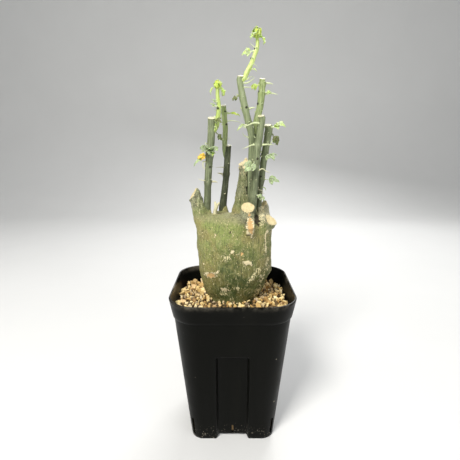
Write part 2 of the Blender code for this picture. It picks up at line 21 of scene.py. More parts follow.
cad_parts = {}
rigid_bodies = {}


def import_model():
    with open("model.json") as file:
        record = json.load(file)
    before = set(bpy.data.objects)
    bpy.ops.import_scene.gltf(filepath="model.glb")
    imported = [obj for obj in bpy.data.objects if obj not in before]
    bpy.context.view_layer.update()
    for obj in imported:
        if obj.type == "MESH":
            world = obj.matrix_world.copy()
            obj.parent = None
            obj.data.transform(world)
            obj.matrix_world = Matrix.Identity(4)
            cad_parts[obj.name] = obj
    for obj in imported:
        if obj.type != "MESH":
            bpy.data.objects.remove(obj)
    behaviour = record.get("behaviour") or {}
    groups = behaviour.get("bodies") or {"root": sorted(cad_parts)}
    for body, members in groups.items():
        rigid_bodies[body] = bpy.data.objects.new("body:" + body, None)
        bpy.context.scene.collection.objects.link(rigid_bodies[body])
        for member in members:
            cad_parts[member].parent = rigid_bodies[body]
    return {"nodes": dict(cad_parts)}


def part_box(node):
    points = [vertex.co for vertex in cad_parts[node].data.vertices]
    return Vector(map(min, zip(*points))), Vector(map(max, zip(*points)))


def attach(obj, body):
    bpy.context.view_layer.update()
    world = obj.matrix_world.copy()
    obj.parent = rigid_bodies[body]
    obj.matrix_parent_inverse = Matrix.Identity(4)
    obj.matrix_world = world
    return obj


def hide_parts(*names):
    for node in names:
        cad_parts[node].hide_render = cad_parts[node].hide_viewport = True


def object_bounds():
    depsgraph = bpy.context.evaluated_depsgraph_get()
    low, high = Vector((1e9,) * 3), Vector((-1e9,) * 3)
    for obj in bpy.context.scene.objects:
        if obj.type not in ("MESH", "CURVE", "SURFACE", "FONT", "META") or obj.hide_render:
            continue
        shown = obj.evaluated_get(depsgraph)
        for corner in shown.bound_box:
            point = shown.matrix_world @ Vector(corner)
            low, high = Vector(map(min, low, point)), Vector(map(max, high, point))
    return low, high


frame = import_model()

MM = 0.001
cad_low, cad_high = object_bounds()
print("CAD box in mm:", [round(v / MM, 1) for v in (*cad_low, *cad_high)])

# %% [markdown]
# The plant is lit like a catalogue shot. A pale sweep stands behind it, one lamp is high on the
# left, a weaker and broader one fills the right, and one behind draws the edges out. The camera
# is a quarter of a metre away, level with the stems, and tipped down.

# %% Camera
def placed(name, data):
    """A new object in the scene."""
    made = bpy.data.objects.new(name, data)
    bpy.context.scene.collection.objects.link(made)
    return made


camera_data = bpy.data.cameras.new("camera")
camera_data.sensor_width = 36.0
camera_data.lens = 27.08
camera = placed("camera", camera_data)
camera.location = (-1.9 * MM, -254.5 * MM, 209.6 * MM)
camera.rotation_euler = (math.radians(90 - 12.1), 0.0, 0.0)
bpy.context.scene.camera = camera
print("camera stands", round(-camera.location.y / MM), "mm in front of the middle")


# %% Lamps
LAMPS = {   # place, size, power, colour
    "key": ((-0.36, -0.66, 0.95), 0.32, 14.5, (1.0, 0.98, 0.94)),
    "fill": ((0.80, -0.60, 0.45), 0.70, 2.5, (0.96, 0.98, 1.0)),
    "edge": ((0.25, 0.85, 0.80), 0.60, 8.0, (1.0, 1.0, 1.0)),
}
heart = Vector((0.0, 0.0, 0.55 * cad_high.z))      # the lamps look at the middle of the plant
for name, (spot, size, power, colour) in LAMPS.items():
    data = bpy.data.lights.new(name, "AREA")
    data.size, data.energy, data.color = size, power, colour
    lamp = placed(name, data)
    lamp.location = spot
    lamp.rotation_euler = (heart - lamp.location).to_track_quat("-Z", "Y").to_euler()
world = bpy.data.worlds.new("studio")
world.use_nodes = True
surround = world.node_tree.nodes["Background"].inputs
surround["Color"].default_value = (0.80, 0.82, 0.84, 1.0)
surround["Strength"].default_value = 0.37
bpy.context.scene.world = world
bpy.context.scene.view_settings.view_transform = "Standard"
print("lamps:", ", ".join(LAMPS))

# %% [markdown]
# A finish is a small graph of nodes. `Nodes` wraps the calls that add a node and join it up, and
# `Finish` adds those of a material, so that each one below reads as a recipe: a first colour, the
# layers over it, and the bumps. Patterns are in the object's own space, in metres, so a scale of
# 1000 is about a millimetre.


# %% A builder for finishes
class Nodes:
    """A node tree being built. Each call adds a node and returns one of its outputs."""

    def __init__(self, tree):
        self.tree = tree

    def feed(self, socket, value):
        if isinstance(value, bpy.types.NodeSocket):
            self.tree.links.new(value, socket)
        elif isinstance(value, tuple) and len(value) == 3 and socket.type == "RGBA":
            socket.default_value = (*value, 1.0)
        else:
            socket.default_value = value

    def call(self, kind, inputs, output=0, **settings):
        made = self.tree.nodes.new(kind)
        for key, value in settings.items():
            setattr(made, key, value)
        for key, value in inputs.items():
            self.feed(made.inputs[key], value)
        return made.outputs[output]

    def math(self, operation, *values):
        return self.call("ShaderNodeMath", dict(enumerate(values)), operation=operation)

    def plus(self, a, b):
        return self.math("ADD", a, b)

    def times(self, a, b):
        return self.math("MULTIPLY", a, b)

    def most(self, a, b):
        return self.math("MAXIMUM", a, b)


class Finish(Nodes):
    """A material being mixed. `skin` is its colour so far, and each layer goes over that."""

    def __init__(self, name, roughness):
        self.material = bpy.data.materials.new(name)
        self.material.use_nodes = True
        super().__init__(self.material.node_tree)
        self.shader = self.tree.nodes["Principled BSDF"].inputs
        self.shader["Roughness"].default_value = roughness
        self.place = self.call("ShaderNodeTexCoord", {}, "Object")
        self.skin = None

    def stretched(self, scale):
        """The place, squeezed along each axis, so that a pattern on it is drawn out."""
        return self.call("ShaderNodeMapping", {"Vector": self.place, "Scale": scale})

    def noise(self, scale, place=None, detail=4.0, rough=0.55, twist=0.0):
        return self.call("ShaderNodeTexNoise", {
            "Vector": place or self.place, "Scale": scale, "Detail": detail,
            "Roughness": rough, "Distortion": twist}, "Fac")

    def cells(self, scale):
        return self.call("ShaderNodeTexVoronoi", {"Vector": self.place, "Scale": scale},
                         "Distance", feature="F1")

    def span(self, value, low, high, out_low=0.0, out_high=1.0):
        return self.call("ShaderNodeMapRange", {
            "Value": value, "From Min": low, "From Max": high, "To Min": out_low,
            "To Max": out_high}, interpolation_type="SMOOTHSTEP")

    def mix(self, share, a, b):
        return self.call("ShaderNodeMix", {0: share, 6: a, 7: b}, 2, data_type="RGBA")

    def ramp(self, value, stops):
        made = self.call("ShaderNodeValToRGB", {0: value})
        elements = made.node.color_ramp.elements
        while len(elements) < len(stops):
            elements.new(0.5)
        for element, (at, colour) in zip(elements, stops):
            element.position = at
            element.color = (*colour, 1.0)
        return made

    def axis(self, index):
        return self.call("ShaderNodeSeparateXYZ", {"Vector": self.place}, index)

    def attribute(self, name):
        return self.call("ShaderNodeAttribute", {}, "Fac", attribute_name=name)

    def layer(self, share, colour):
        """Lays a colour over the skin so far."""
        self.skin = self.mix(share, self.skin, colour)

    def over(self, pattern, low, high, colour, most=1.0):
        """Lays a colour over the skin so far, more of it as the pattern goes from low to high."""
        self.layer(self.span(pattern, low, high, 0.0, most), colour)

    def end(self, *bumps, rough=None):
        """Joins the skin up. Each bump is (height, how deep it is in metres)."""
        self.feed(self.shader["Base Color"], self.skin)
        if rough:
            self.feed(self.shader["Roughness"], rough)
        normal = {}
        for height, depth in bumps:
            made = {"Strength": 1.0, "Distance": depth, "Height": height, **normal}
            normal = {"Normal": self.call("ShaderNodeBump", made)}
        self.feed(self.shader["Normal"], normal["Normal"])

    def let_light_in(self, weight, reach):
        self.shader["Subsurface Weight"].default_value = weight
        self.shader["Subsurface Radius"].default_value = reach
        self.shader["Subsurface Scale"].default_value = 1.0


# %% [markdown]
# The sweep is a floor that curves up into a wall behind the plant, so that no horizon shows. It
# is a strip of matt paper with a faint mottle.


# %% Floor sweep
@contextlib.contextmanager
def editing(mesh):
    """The mesh as a bmesh, which is written back when the block ends."""
    shape = bmesh.new()
    shape.from_mesh(mesh)
    yield shape
    shape.to_mesh(mesh)
    shape.free()


def mesh_object(name, points, faces, finish=None, sharp=35.0):
    """A mesh object from points and faces, smooth except at edges sharper than the angle."""
    mesh = bpy.data.meshes.new(name)
    mesh.from_pydata([tuple(p) for p in points], [], faces)
    mesh.validate()
    with editing(mesh) as shape:
        bmesh.ops.recalc_face_normals(shape, faces=shape.faces)
    if finish:
        mesh.materials.append(finish.material)
    mesh.shade_smooth()
    mesh.set_sharp_from_angle(angle=math.radians(sharp))
    return placed(name, mesh)


paper = Finish("sweep paper", 0.85)
paper.skin = paper.mix(paper.noise(6.0), (0.70, 0.70, 0.69), (0.75, 0.75, 0.74))
paper.end((paper.noise(900.0), 0.00005))

SWEEP_WIDTH, SWEEP_FRONT, SWEEP_BACK, SWEEP_RADIUS, SWEEP_TOP = 5.0, -2.0, 0.9, 0.5, 2.2
profile = [(SWEEP_FRONT, 0.0), (0.0, 0.0)]
for step in range(13):
    angle = math.radians(90) * step / 12
    profile.append((SWEEP_BACK + SWEEP_RADIUS * math.sin(angle),
                    SWEEP_RADIUS * (1 - math.cos(angle))))
profile.append((SWEEP_BACK + SWEEP_RADIUS, SWEEP_TOP))
sweep_points = [(x, y, z) for y, z in profile for x in (-SWEEP_WIDTH / 2, SWEEP_WIDTH / 2)]
sweep_faces = [(2 * i, 2 * i + 1, 2 * i + 3, 2 * i + 2) for i in range(len(profile) - 1)]
sweep = mesh_object("sweep", sweep_points, sweep_faces, paper)
print("sweep:", len(sweep_faces), "faces")

# %% [markdown]
# The pot is injection-moulded black plastic: a rounded square that tapers to its foot, a flared
# band round the rim, and a shallow channel pressed into each side that drains to a notch in the
# foot. Its skin is a grid. Each row is one closed line round the pot, and the channel is a smooth
# dent in that line which fades out at its top, so its edges are soft, as a moulding's are. The
# slits and drain holes are cut last.

# %% Pot sizes
_, pot_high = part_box("pot")
LIP_HALF = pot_high.x
POT_TOP = pot_high.z
BASE_HALF = 31.25 * MM
WALL = 1.2 * MM
BAND_HEIGHT = 13.8 * MM
BAND_FLARE = 2.4 * MM
BAND_STEP = 0.7 * MM
BAND_FOOT = POT_TOP - BAND_HEIGHT
BODY_TOP_HALF = LIP_HALF - BAND_FLARE - BAND_STEP
LIP_RADIUS, BASE_RADIUS = 20 * MM, 9 * MM
FOOT_WIDTH, FOOT_HEIGHT = 5 * MM, 1.8 * MM
POT_FLOOR = FOOT_HEIGHT + WALL
CHANNEL_HALF, CHANNEL_SLOPE = 12.5 * MM, 2.6 * MM
CHANNEL_DEPTH, CHANNEL_TOP = 3.4 * MM, 73.5 * MM
NOTCH_HEIGHT = 1.5 * MM
EDGE = 0.5 * MM              # how round the moulding's edges are
print("pot is", round(2 * LIP_HALF / MM, 1), "mm wide and", round(POT_TOP / MM, 1), "mm tall")


# %% Pot skin
def smooth_step(share):
    share = min(max(share, 0.0), 1.0)
    return share * share * (3 - 2 * share)


def body_half(z):
    return BASE_HALF + (BODY_TOP_HALF - BASE_HALF) * z / BAND_FOOT


def pot_line(z, half, inset=0.0):
    """One closed line round the pot, dented by the four channels and lifted by the notches."""
    radius = BASE_RADIUS + (LIP_RADIUS - BASE_RADIUS) * z / POT_TOP - inset
    straight = half - radius
    mouth = CHANNEL_HALF + inset
    slope = [mouth - CHANNEL_SLOPE * k / 5 for k in range(6)]
    places = [-straight, -(straight + mouth) / 2, *[-y for y in slope], -mouth / 3,
              mouth / 3, *reversed(slope), (straight + mouth) / 2]
    side = []
    for y in places:
        into = smooth_step((mouth - abs(y)) / CHANNEL_SLOPE)
        dent = CHANNEL_DEPTH * into * smooth_step((CHANNEL_TOP + inset - z) / CHANNEL_SLOPE)
        lift = NOTCH_HEIGHT * into * smooth_step((3 * EDGE - z) / EDGE)
        side.append(Vector((half - dent, y, z + lift)))
    for step in range(14):
        angle = math.radians(90) * step / 14
        side.append(Vector((straight + radius * math.cos(angle),
                            straight + radius * math.sin(angle), z)))
    turns = [Matrix.Rotation(math.radians(90) * quarter, 3, "Z") for quarter in range(4)]
    return [turn @ point for turn in turns for point in side]


def pot_rows():
    """The pot's profile from the middle of its underside, up the outside and down the inside."""
    foot = body_half(0.0)
    rows = [(FOOT_HEIGHT, foot - FOOT_WIDTH - FOOT_HEIGHT), (EDGE / 2, foot - FOOT_WIDTH - EDGE),
            (0.0, foot - FOOT_WIDTH), (0.0, foot - EDGE), (EDGE * 0.3, foot - EDGE * 0.3)]
    heights = [EDGE + (BAND_FOOT - 2 * EDGE) * k / 44 for k in range(45)]
    heights += [CHANNEL_TOP - CHANNEL_SLOPE * k / 5 for k in range(6)]
    rows += [(z, body_half(z)) for z in sorted(heights)]
    body = body_half(BAND_FOOT)
    rows += [(BAND_FOOT - EDGE * 0.3, body), (BAND_FOOT, body + EDGE * 0.3),
             (BAND_FOOT + EDGE * 0.1, body + BAND_STEP - EDGE * 0.3),
             (BAND_FOOT + EDGE * 0.5, body + BAND_STEP)]
    rise = BAND_HEIGHT - 2 * EDGE
    for k in range(1, 9):
        flare = BAND_FLARE * (k / 8) ** 0.9
        rows.append((BAND_FOOT + EDGE + rise * k / 8, body + BAND_STEP + flare))
    for k in range(1, 8):
        angle = math.radians(180) * k / 8
        rows.append((POT_TOP - EDGE + EDGE * math.sin(angle),
                     LIP_HALF - WALL / 2 + WALL / 2 * math.cos(angle)))
    for k in range(9):
        share = k / 8
        rows.append((POT_TOP - EDGE - (BAND_HEIGHT - EDGE) * share,
                     LIP_HALF - WALL - (BAND_FLARE + BAND_STEP) * share))
    return rows, [(BAND_FOOT - (BAND_FOOT - POT_FLOOR) * k / 30) for k in range(1, 31)]


def skin(lines):
    """Points and faces of a closed skin through lines that all have as many points."""
    count = len(lines[0])
    points = [p for line in lines for p in line]
    faces = [tuple(range(count))[::-1]]
    for row in range(len(lines) - 1):
        for i in range(count):
            j = (i + 1) % count
            a, b = row * count, (row + 1) * count
            faces.append((a + i, a + j, b + j, b + i))
    faces.append(tuple(range(len(points) - count, len(points))))
    return points, faces


outer_rows, inner_heights = pot_rows()
lines = [pot_line(z, half) for z, half in outer_rows]
lines += [pot_line(z, body_half(z) - WALL, WALL) for z in inner_heights]
print("pot grid:", len(lines), "lines of", len(lines[0]), "points")

# %% [markdown]
# Black plastic is never a flat black. A fine orange peel breaks up its shine, faint lighter
# streaks run down it, and pale dust sits along the rim, in specks all over and as crumbs at the
# foot.

# %% Pot finish
plastic = Finish("black moulded plastic", 0.40)
pot_streaks = plastic.noise(60.0, plastic.stretched((1.0, 1.0, 0.12)), detail=5.0)
clouds = plastic.noise(45.0, detail=6.0, rough=0.65)
rim = plastic.span(plastic.axis(2), POT_TOP - 5 * MM, POT_TOP)
foot = plastic.span(plastic.axis(2), 15 * MM, 2 * MM)
specks = plastic.times(plastic.span(plastic.cells(170.0), 0.13, 0.05),
                       plastic.span(plastic.noise(60.0, detail=2.0), 0.56, 0.66))
crumbs = plastic.span(plastic.noise(650.0, detail=3.0, rough=0.7), 0.61, 0.67)
crumbs = plastic.times(crumbs, foot)
dust = plastic.times(rim, plastic.span(clouds, 0.42, 0.75, 0.0, 0.45))
for pattern in (specks, crumbs):
    dust = plastic.most(dust, plastic.times(pattern, 0.8))
plastic.skin = (0.0016, 0.0018, 0.0010)
# faint lighter vertical streaks
plastic.over(pot_streaks, 0.50, 0.80, (0.0070, 0.0068, 0.0044), 0.35)
plastic.layer(dust, (0.36, 0.32, 0.25))
worn = plastic.span(clouds, 0.30, 0.75, 0.34, 0.50)
worn = plastic.mix(rim, worn, (0.24, 0.24, 0.24))
plastic.shader["Specular IOR Level"].default_value = 0.09
plastic.end((plastic.noise(1500.0, detail=2.0), 0.00002),
            (plastic.noise(160.0, detail=2.0), 0.00008),
            rough=plastic.most(worn, plastic.times(dust, 0.9)))
print("plastic:", len(plastic.tree.nodes), "nodes")


# %% Cut the slits and drain holes
HOLE_RADIUS, HOLE_RING = 3 * MM, 15 * MM
SIDE_SLIT, CORNER_SLIT = (1.4 * MM, 10 * MM), (2.4 * MM, 17 * MM)      # width, top


def evaluated_mesh(target):
    """What the modifiers make of an object, as a plain mesh."""
    bpy.context.view_layer.update()
    graph = bpy.context.evaluated_depsgraph_get()
    return bpy.data.meshes.new_from_object(target.evaluated_get(graph), depsgraph=graph)


def apply_modifiers(target):
    mesh = evaluated_mesh(target)
    target.modifiers.clear()
    target.data = mesh
    return target


def finish_piece(piece, finish, slot, *nodes):
    """Gives a piece its finish, hangs it on the root body and hides the CAD parts it replaces. The
    slot is not used.
    """
    if not piece.data.materials:
        piece.data.materials.append(finish.material)
    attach(piece, "root")
    if nodes:
        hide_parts(*nodes)
    return piece


def pot_tools():
    """One mesh of all that is cut from the pot: nine drain holes and eight slits."""
    mesh = bpy.data.meshes.new("pot tools")
    angles = [2 * math.pi * (i + 0.5) / 8 for i in range(8)]
    ring = [(HOLE_RING * math.cos(a), HOLE_RING * math.sin(a)) for a in angles]
    corner = (BASE_HALF - BASE_RADIUS) * math.sqrt(2) + BASE_RADIUS
    with editing(mesh) as shape:
        for x, y in [(0.0, 0.0), *ring]:
            made = bmesh.ops.create_cone(shape, cap_ends=True, segments=24, radius1=HOLE_RADIUS,
                                         radius2=HOLE_RADIUS, depth=20 * MM)
            bmesh.ops.translate(shape, vec=(x, y, 0.0), verts=made["verts"])
        for quarter in range(4):
            for reach, (width, top), turn in ((BASE_HALF - CHANNEL_DEPTH, SIDE_SLIT, 0.0),
                                              (corner, CORNER_SLIT, 45.0)):
                made = bmesh.ops.create_cube(shape, size=1.0)["verts"]
                bmesh.ops.scale(shape, vec=(9 * MM, width, top - POT_FLOOR), verts=made)
                bmesh.ops.translate(shape, vec=(reach, 0.0, (top + POT_FLOOR) / 2), verts=made)
                spin = Matrix.Rotation(math.radians(90 * quarter + turn), 3, "Z")
                bmesh.ops.rotate(shape, matrix=spin, verts=made)
    return placed("pot tools", mesh)


pot = mesh_object("nursery_pot", *skin(lines), plastic)
tools = pot_tools()
cut = pot.modifiers.new("slits and holes", "BOOLEAN")
cut.operation = "DIFFERENCE"
cut.object = tools
cut.solver = "EXACT"
apply_modifiers(pot)
pot.data.set_sharp_from_angle(angle=math.radians(35))
bpy.data.objects.remove(tools)
finish_piece(pot, plastic, "pot_plastic", "pot")
print("pot skin:", len(pot.data.polygons), "faces")

# %% [markdown]
# The grit is crushed, sieved stone: cream, tan and pinkish chips two to five millimetres across.
# A Geometry Nodes tree scatters chips over the bed in two layers, each turned and sized at
# random. The lower one is dense and hides the fill, and the upper one keeps its chips apart so
# that few of them cut through each other. A dozen different chips are enough for nobody to see a
# repeat.

# %% Grit sizes
_, bed_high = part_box("grit_bed")
_, caudex_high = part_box("caudex")
GRIT_TOP = bed_high.z
GRIT_FALL = 3 * MM           # the bed drops this much from front to back
BED_HALF = bed_high.x
CHIP = 3.7 * MM              # a middling chip, across
NECK = (18.5 * MM, 16.0 * MM)   # where the caudex leaves the bed: half its width and depth
print("grit lies", round((POT_TOP - GRIT_TOP) / MM, 1), "mm under the rim")


def grit_level(x, y):
    share = (y + BED_HALF) / (2 * BED_HALF)
    mound = noise.noise(Vector((x, y, 0.0)) / (11 * MM)) * 0.7 * MM
    return GRIT_TOP - GRIT_FALL * share * share + mound


# %% The bed's surface, on which chips are scattered
def bed_surface(step=2.0 * MM, edge=1.5 * MM):
    """A grid over the bed, less its rounded corners and the place where the caudex stands."""
    count = int(2 * BED_HALF / step)
    corner = LIP_RADIUS - WALL
    points, index, faces = [], {}, []
    half = BODY_TOP_HALF + 1.0 * MM - WALL - edge
    for i in range(count + 1):
        for j in range(count + 1):
            x, y = (-half + 2 * half * i / count), (-half + 2 * half * j / count)
            over_x, over_y = abs(x) - (half - corner), abs(y) - (half - corner)
            outside = over_x > 0 and over_y > 0 and math.hypot(over_x, over_y) > corner
            if outside or math.hypot(x / NECK[0], y / NECK[1]) < 1.0:
                continue
            index[i, j] = len(points)
            points.append((x, y, grit_level(x, y)))
    for i in range(count):
        for j in range(count):
            corners = [(i, j), (i + 1, j), (i + 1, j + 1), (i, j + 1)]
            if all(c in index for c in corners):
                faces.append(tuple(index[c] for c in corners))
    return mesh_object("bed surface", points, faces)


def chip_shape(name, seed):
    """A crushed chip: the hull of a few points thrown on an uneven ball, one unit across."""
    luck = random.Random(seed)
    stretch = Vector((luck.uniform(0.9, 1.25), luck.uniform(0.65, 1.0), luck.uniform(0.5, 0.8)))
    mesh = bpy.data.meshes.new(name)
    with editing(mesh) as shape:
        for _ in range(13):
            way = Vector([luck.gauss(0, 1) for _ in range(3)]).normalized()
            shape.verts.new(way * luck.uniform(0.42, 0.52) * stretch)
        made = bmesh.ops.convex_hull(shape, input=shape.verts)["geom_interior"]
        bmesh.ops.delete(shape, geom=[v for v in made if v.is_valid], context="VERTS")
        bmesh.ops.recalc_face_normals(shape, faces=shape.faces)
    mesh.shade_smooth()
    mesh.set_sharp_from_angle(angle=math.radians(28))
    return bpy.data.objects.new(name, mesh)


chips = bpy.data.collections.new("chips")
for seed in range(12):
    chips.objects.link(chip_shape(f"chip {seed}", seed))

# %% [markdown]
# `Tree` does for Geometry Nodes what `Finish` does for materials, with the same calls. `scatter`
# is the tree that lays both layers of chips. Its named inputs are the sizes that a gardener would
# give: how large the chips are, how far apart they lie and how deep the layer is.


# %% A builder for Geometry Nodes
class Tree(Nodes):
    """A Geometry Nodes tree being built, with its named inputs."""

    def __init__(self, name, inputs):
        super().__init__(bpy.data.node_groups.new(name, "GeometryNodeTree"))
        self.ids = {}
        for label, (kind, value) in {"Geometry": ("Geometry", None), **inputs}.items():
            socket = self.tree.interface.new_socket(
                name=label, in_out="INPUT", socket_type=f"NodeSocket{kind}")
            if value is not None:
                socket.default_value = value
            self.ids[label] = socket.identifier
        self.tree.interface.new_socket(
            name="Geometry", in_out="OUTPUT", socket_type="NodeSocketGeometry")
        self.inputs = self.tree.nodes.new("NodeGroupInput").outputs
        self.out = self.tree.nodes.new("NodeGroupOutput")

    def random(self, low, high, seed, kind="FLOAT"):
        first = {"FLOAT_VECTOR": 0, "FLOAT": 2}[kind]
        return self.call("FunctionNodeRandomValue", {first: low, first + 1: high, "Seed": seed},
                         {"FLOAT_VECTOR": 0, "FLOAT": 1}[kind], data_type=kind)

    def stored(self, name, kind="FLOAT"):
        return self.call("GeometryNodeInputNamedAttribute", {"Name": name}, data_type=kind)

    def store(self, geometry, name, value, domain="POINT"):
        return self.call("GeometryNodeStoreNamedAttribute", {
            "Geometry": geometry, "Name": name, "Value": value}, data_type="FLOAT", domain=domain)

    def move(self, geometry, **how):
        return self.call("GeometryNodeSetPosition", {"Geometry": geometry, **how})

    def scaled(self, vector, share):
        return self.call("ShaderNodeVectorMath", {0: vector, "Scale": share}, operation="SCALE")

    def end(self, geometry):
        whole = self.call("GeometryNodeRealizeInstances", {"Geometry": geometry})
        whole = self.call("GeometryNodeSetMaterial",
                          {"Geometry": whole, "Material": self.inputs["Finish"]})
        self.feed(self.out.inputs[0], whole)


def grow(name, source, tree, settings):
    """Runs a tree on a source object and returns what it makes as a plain mesh object."""
    modifier = source.modifiers.new(tree.tree.name, "NODES")
    modifier.node_group = tree.tree
    for label, value in settings.items():
        modifier[tree.ids[label]] = value
    mesh = evaluated_mesh(source)
    mesh.name = name
    bpy.data.objects.remove(source)
    return placed(name, mesh)


# %% Scatter two layers of chips
APART = 0.72 * CHIP
scatter = Tree("scatter chips", {
    "Chips": ("Collection", None), "Finish": ("Material", None), "Size": ("Float", CHIP),
    "Apart": ("Float", APART), "Depth": ("Float", CHIP), "Seed": ("Int", 7)})
bed = {"Mesh": scatter.inputs["Geometry"], "Seed": scatter.inputs["Seed"]}
low_layer = scatter.call("GeometryNodeDistributePointsOnFaces", {
    **bed, "Density": 190000.0}, distribute_method="RANDOM")
top_layer = scatter.call("GeometryNodeDistributePointsOnFaces", {
    **bed, "Distance Min": scatter.inputs["Apart"], "Density Max": 600000.0},
    distribute_method="POISSON")
sunk = scatter.call("ShaderNodeCombineXYZ", {"Z": scatter.times(scatter.inputs["Depth"], -0.62)})
# the lower layer is marked deep, and the finish paints it darker as painted shade
low_layer = scatter.store(scatter.move(low_layer, Offset=sunk), "deep", 1.0)
points = scatter.call("GeometryNodeJoinGeometry", {})
for layer in (low_layer, top_layer):
    scatter.feed(points.node.inputs[0], layer)
jitter = scatter.random((-0.3 * MM, -0.3 * MM, -0.9 * MM), (0.3 * MM, 0.3 * MM, 0.35 * MM), 11,
                        "FLOAT_VECTOR")
points = scatter.move(points, Offset=jitter)
shapes = scatter.call("GeometryNodeCollectionInfo", {
    "Collection": scatter.inputs["Chips"], "Separate Children": True, "Reset Children": True})
turn = scatter.random((0.0, 0.0, 0.0), (6.28, 6.28, 6.28), 12, "FLOAT_VECTOR")
skewed = scatter.math("POWER", scatter.random(0.0, 1.0, 13), 2.2)       # more small than large
size = scatter.call("ShaderNodeMapRange", {"Value": skewed, "To Min": 0.68, "To Max": 1.65})
size = scatter.times(size, scatter.inputs["Size"])
laid = scatter.call("GeometryNodeInstanceOnPoints", {
    "Points": points, "Instance": shapes, "Pick Instance": True, "Rotation": turn, "Scale": size})
laid = scatter.store(laid, "tone", scatter.random(0.0, 1.0, 14), "INSTANCE")
laid = scatter.store(laid, "tint", scatter.random(0.0, 1.0, 15), "INSTANCE")
scatter.end(laid)
print("scatter tree:", len(scatter.tree.nodes), "nodes")

# %% [markdown]
# Each chip carries two random numbers, `tone` and `tint`, from the tree. The finish turns the
# first into the colour of the stone and the second into how weathered it is, then adds pores and
# dust. Chips of the lower layer are marked `deep` and painted darker. That is painted shade for the
# gaps between the chips above them.

# %% Grit finish
grit = Finish("crushed stone", 0.88)
STONE = [(0.0, (0.20, 0.11, 0.035)), (0.14, (0.50, 0.30, 0.09)), (0.34, (0.74, 0.53, 0.21)),
         (0.60, (0.92, 0.75, 0.37)), (0.80, (0.66, 0.41, 0.17)), (1.0, (0.95, 0.84, 0.53))]
pores = grit.noise(1100.0, detail=3.0, rough=0.7)
stain = grit.noise(420.0, detail=4.0)
grit.skin = grit.ramp(grit.attribute("tone"), STONE)
grit.over(grit.attribute("tint"), 0.80, 1.0, (0.46, 0.41, 0.32), 0.6)
grit.over(stain, 0.48, 0.68, (0.50, 0.33, 0.16), 0.55)
# painted shade: chips marked deep are darkened to stand for the shade in the gaps
grit.layer(grit.times(grit.attribute("deep"), 0.85), (0.07, 0.038, 0.015))
grit.over(pores, 0.62, 0.75, (0.25, 0.17, 0.09), 0.6)
grit.end((pores, 0.00025), (grit.noise(3000.0, detail=2.0), 0.00006))

grit_chips = grow("grit_chips", bed_surface(), scatter, {
    "Chips": chips, "Finish": grit.material, "Size": CHIP, "Apart": APART, "Depth": CHIP,
    "Seed": 7})
for chip in list(chips.objects):
    bpy.data.objects.remove(chip)
finish_piece(grit_chips, grit, "grit", "grit_bed")
print("grit:", len(grit_chips.data.polygons), "faces on chips")


# %% [markdown]
# Under the chips the pot is full to its floor. That fill shows only through the slits and the
# drain holes, so it is the CAD bed remeshed and roughened, in the same stone.


# %% Grit fill
def copy_of(node, name):
    """A copy of a CAD node's mesh with its loose triangles sewn together."""
    mesh = frame["nodes"][node].data.copy()
    mesh.name = name
    mesh.materials.clear()
    with editing(mesh) as shape:
        bmesh.ops.remove_doubles(shape, verts=shape.verts, dist=0.01 * MM)
    return placed(name, mesh)


def remesh(target, voxel):
    sewn = target.modifiers.new("remesh", "REMESH")
    sewn.mode = "VOXEL"
    sewn.voxel_size = voxel
    return apply_modifiers(target)


def coordinates(target):
    points = np.empty(len(target.data.vertices) * 3, np.float32)
    target.data.vertices.foreach_get("co", points)
    return points.reshape(-1, 3).astype(float)


def set_coordinates(target, points):
    target.data.vertices.foreach_set("co", points.astype(np.float32).ravel())
    target.data.update()


def keep_attribute(target, name, values):
    made = target.data.attributes.new(name, "FLOAT", "POINT")
    made.data.foreach_set("value", np.asarray(values, np.float32))


FILL_VOXEL = 1.8 * MM
grit_fill = remesh(copy_of("grit_bed", "grit_fill"), FILL_VOXEL)
points = coordinates(grit_fill)
near_top = np.clip((points[:, 2] - (GRIT_TOP - 10 * MM)) / (10 * MM), 0, 1)
rough = np.array([noise.noise(Vector(p) / (2.6 * MM)) for p in points])
middle = points * (1, 1, 0)
points -= middle / np.maximum(np.linalg.norm(middle, axis=1), MM)[:, None] * (
    np.abs(rough) * 0.5 * MM)[:, None]
points[:, 2] -= near_top * (2.6 + rough) * MM
set_coordinates(grit_fill, points)
# the fill is marked deep too, so it is painted dark as painted shade
keep_attribute(grit_fill, "deep", np.ones(len(points)))
keep_attribute(grit_fill, "tone", 0.2 + 0.2 * rough)
grit_fill.data.shade_smooth()
finish_piece(grit_fill, grit, "grit", "grit_bed")
print("grit fill:", len(points), "points")

# %% [markdown]
# The caudex is one growth: body, shoulders and pruned stubs run into each other with no seam. The
# CAD node is a union of plain shapes with a socket for each stem. Here its copy gets a collar
# round each stem's foot, and a voxel remesh fuses all of it into one skin. Smoothing melts the
# joins, and then the saw cuts are pressed flat again, because those are crisp on the real plant.


# %% Read the stems from the CAD nodes
def centre_line(node, count=40):
    """Points up the middle of an upright CAD stem, and its radius at each of them."""
    mesh = frame["nodes"][node].data
    points = np.array([v.co for v in mesh.vertices])
    edges = np.array([e.vertices for e in mesh.edges])
    start, end = points[edges[:, 0]], points[edges[:, 1]]
    low, high = points[:, 2].min(), points[:, 2].max()
    line, radii = [], []
    for z in np.linspace(low + 0.3 * MM, high - 0.3 * MM, count):
        across = (start[:, 2] - z) * (end[:, 2] - z) < 0
        a, b = start[across], end[across]
        hits = a + (b - a) * ((z - a[:, 2]) / (b[:, 2] - a[:, 2]))[:, None]
        line.append((hits.min(0) + hits.max(0)) / 2)
        radii.append(np.ptp(hits[:, 1]) / 2)
    return np.array(line), np.array(radii)


STEMS = [n for n in sorted(frame["nodes"]) if n.startswith("stem_")]
SHOOTS = [n for n in sorted(frame["nodes"]) if n.startswith("shoot_")]
axes = {name: centre_line(name) for name in STEMS + SHOOTS}
for name, (line, radii) in axes.items():
    print(name, "is", round((line[-1][2] - line[0][2]) / MM, 1), "mm long and",
          round(2 * np.median(radii) / MM, 1), "mm thick")


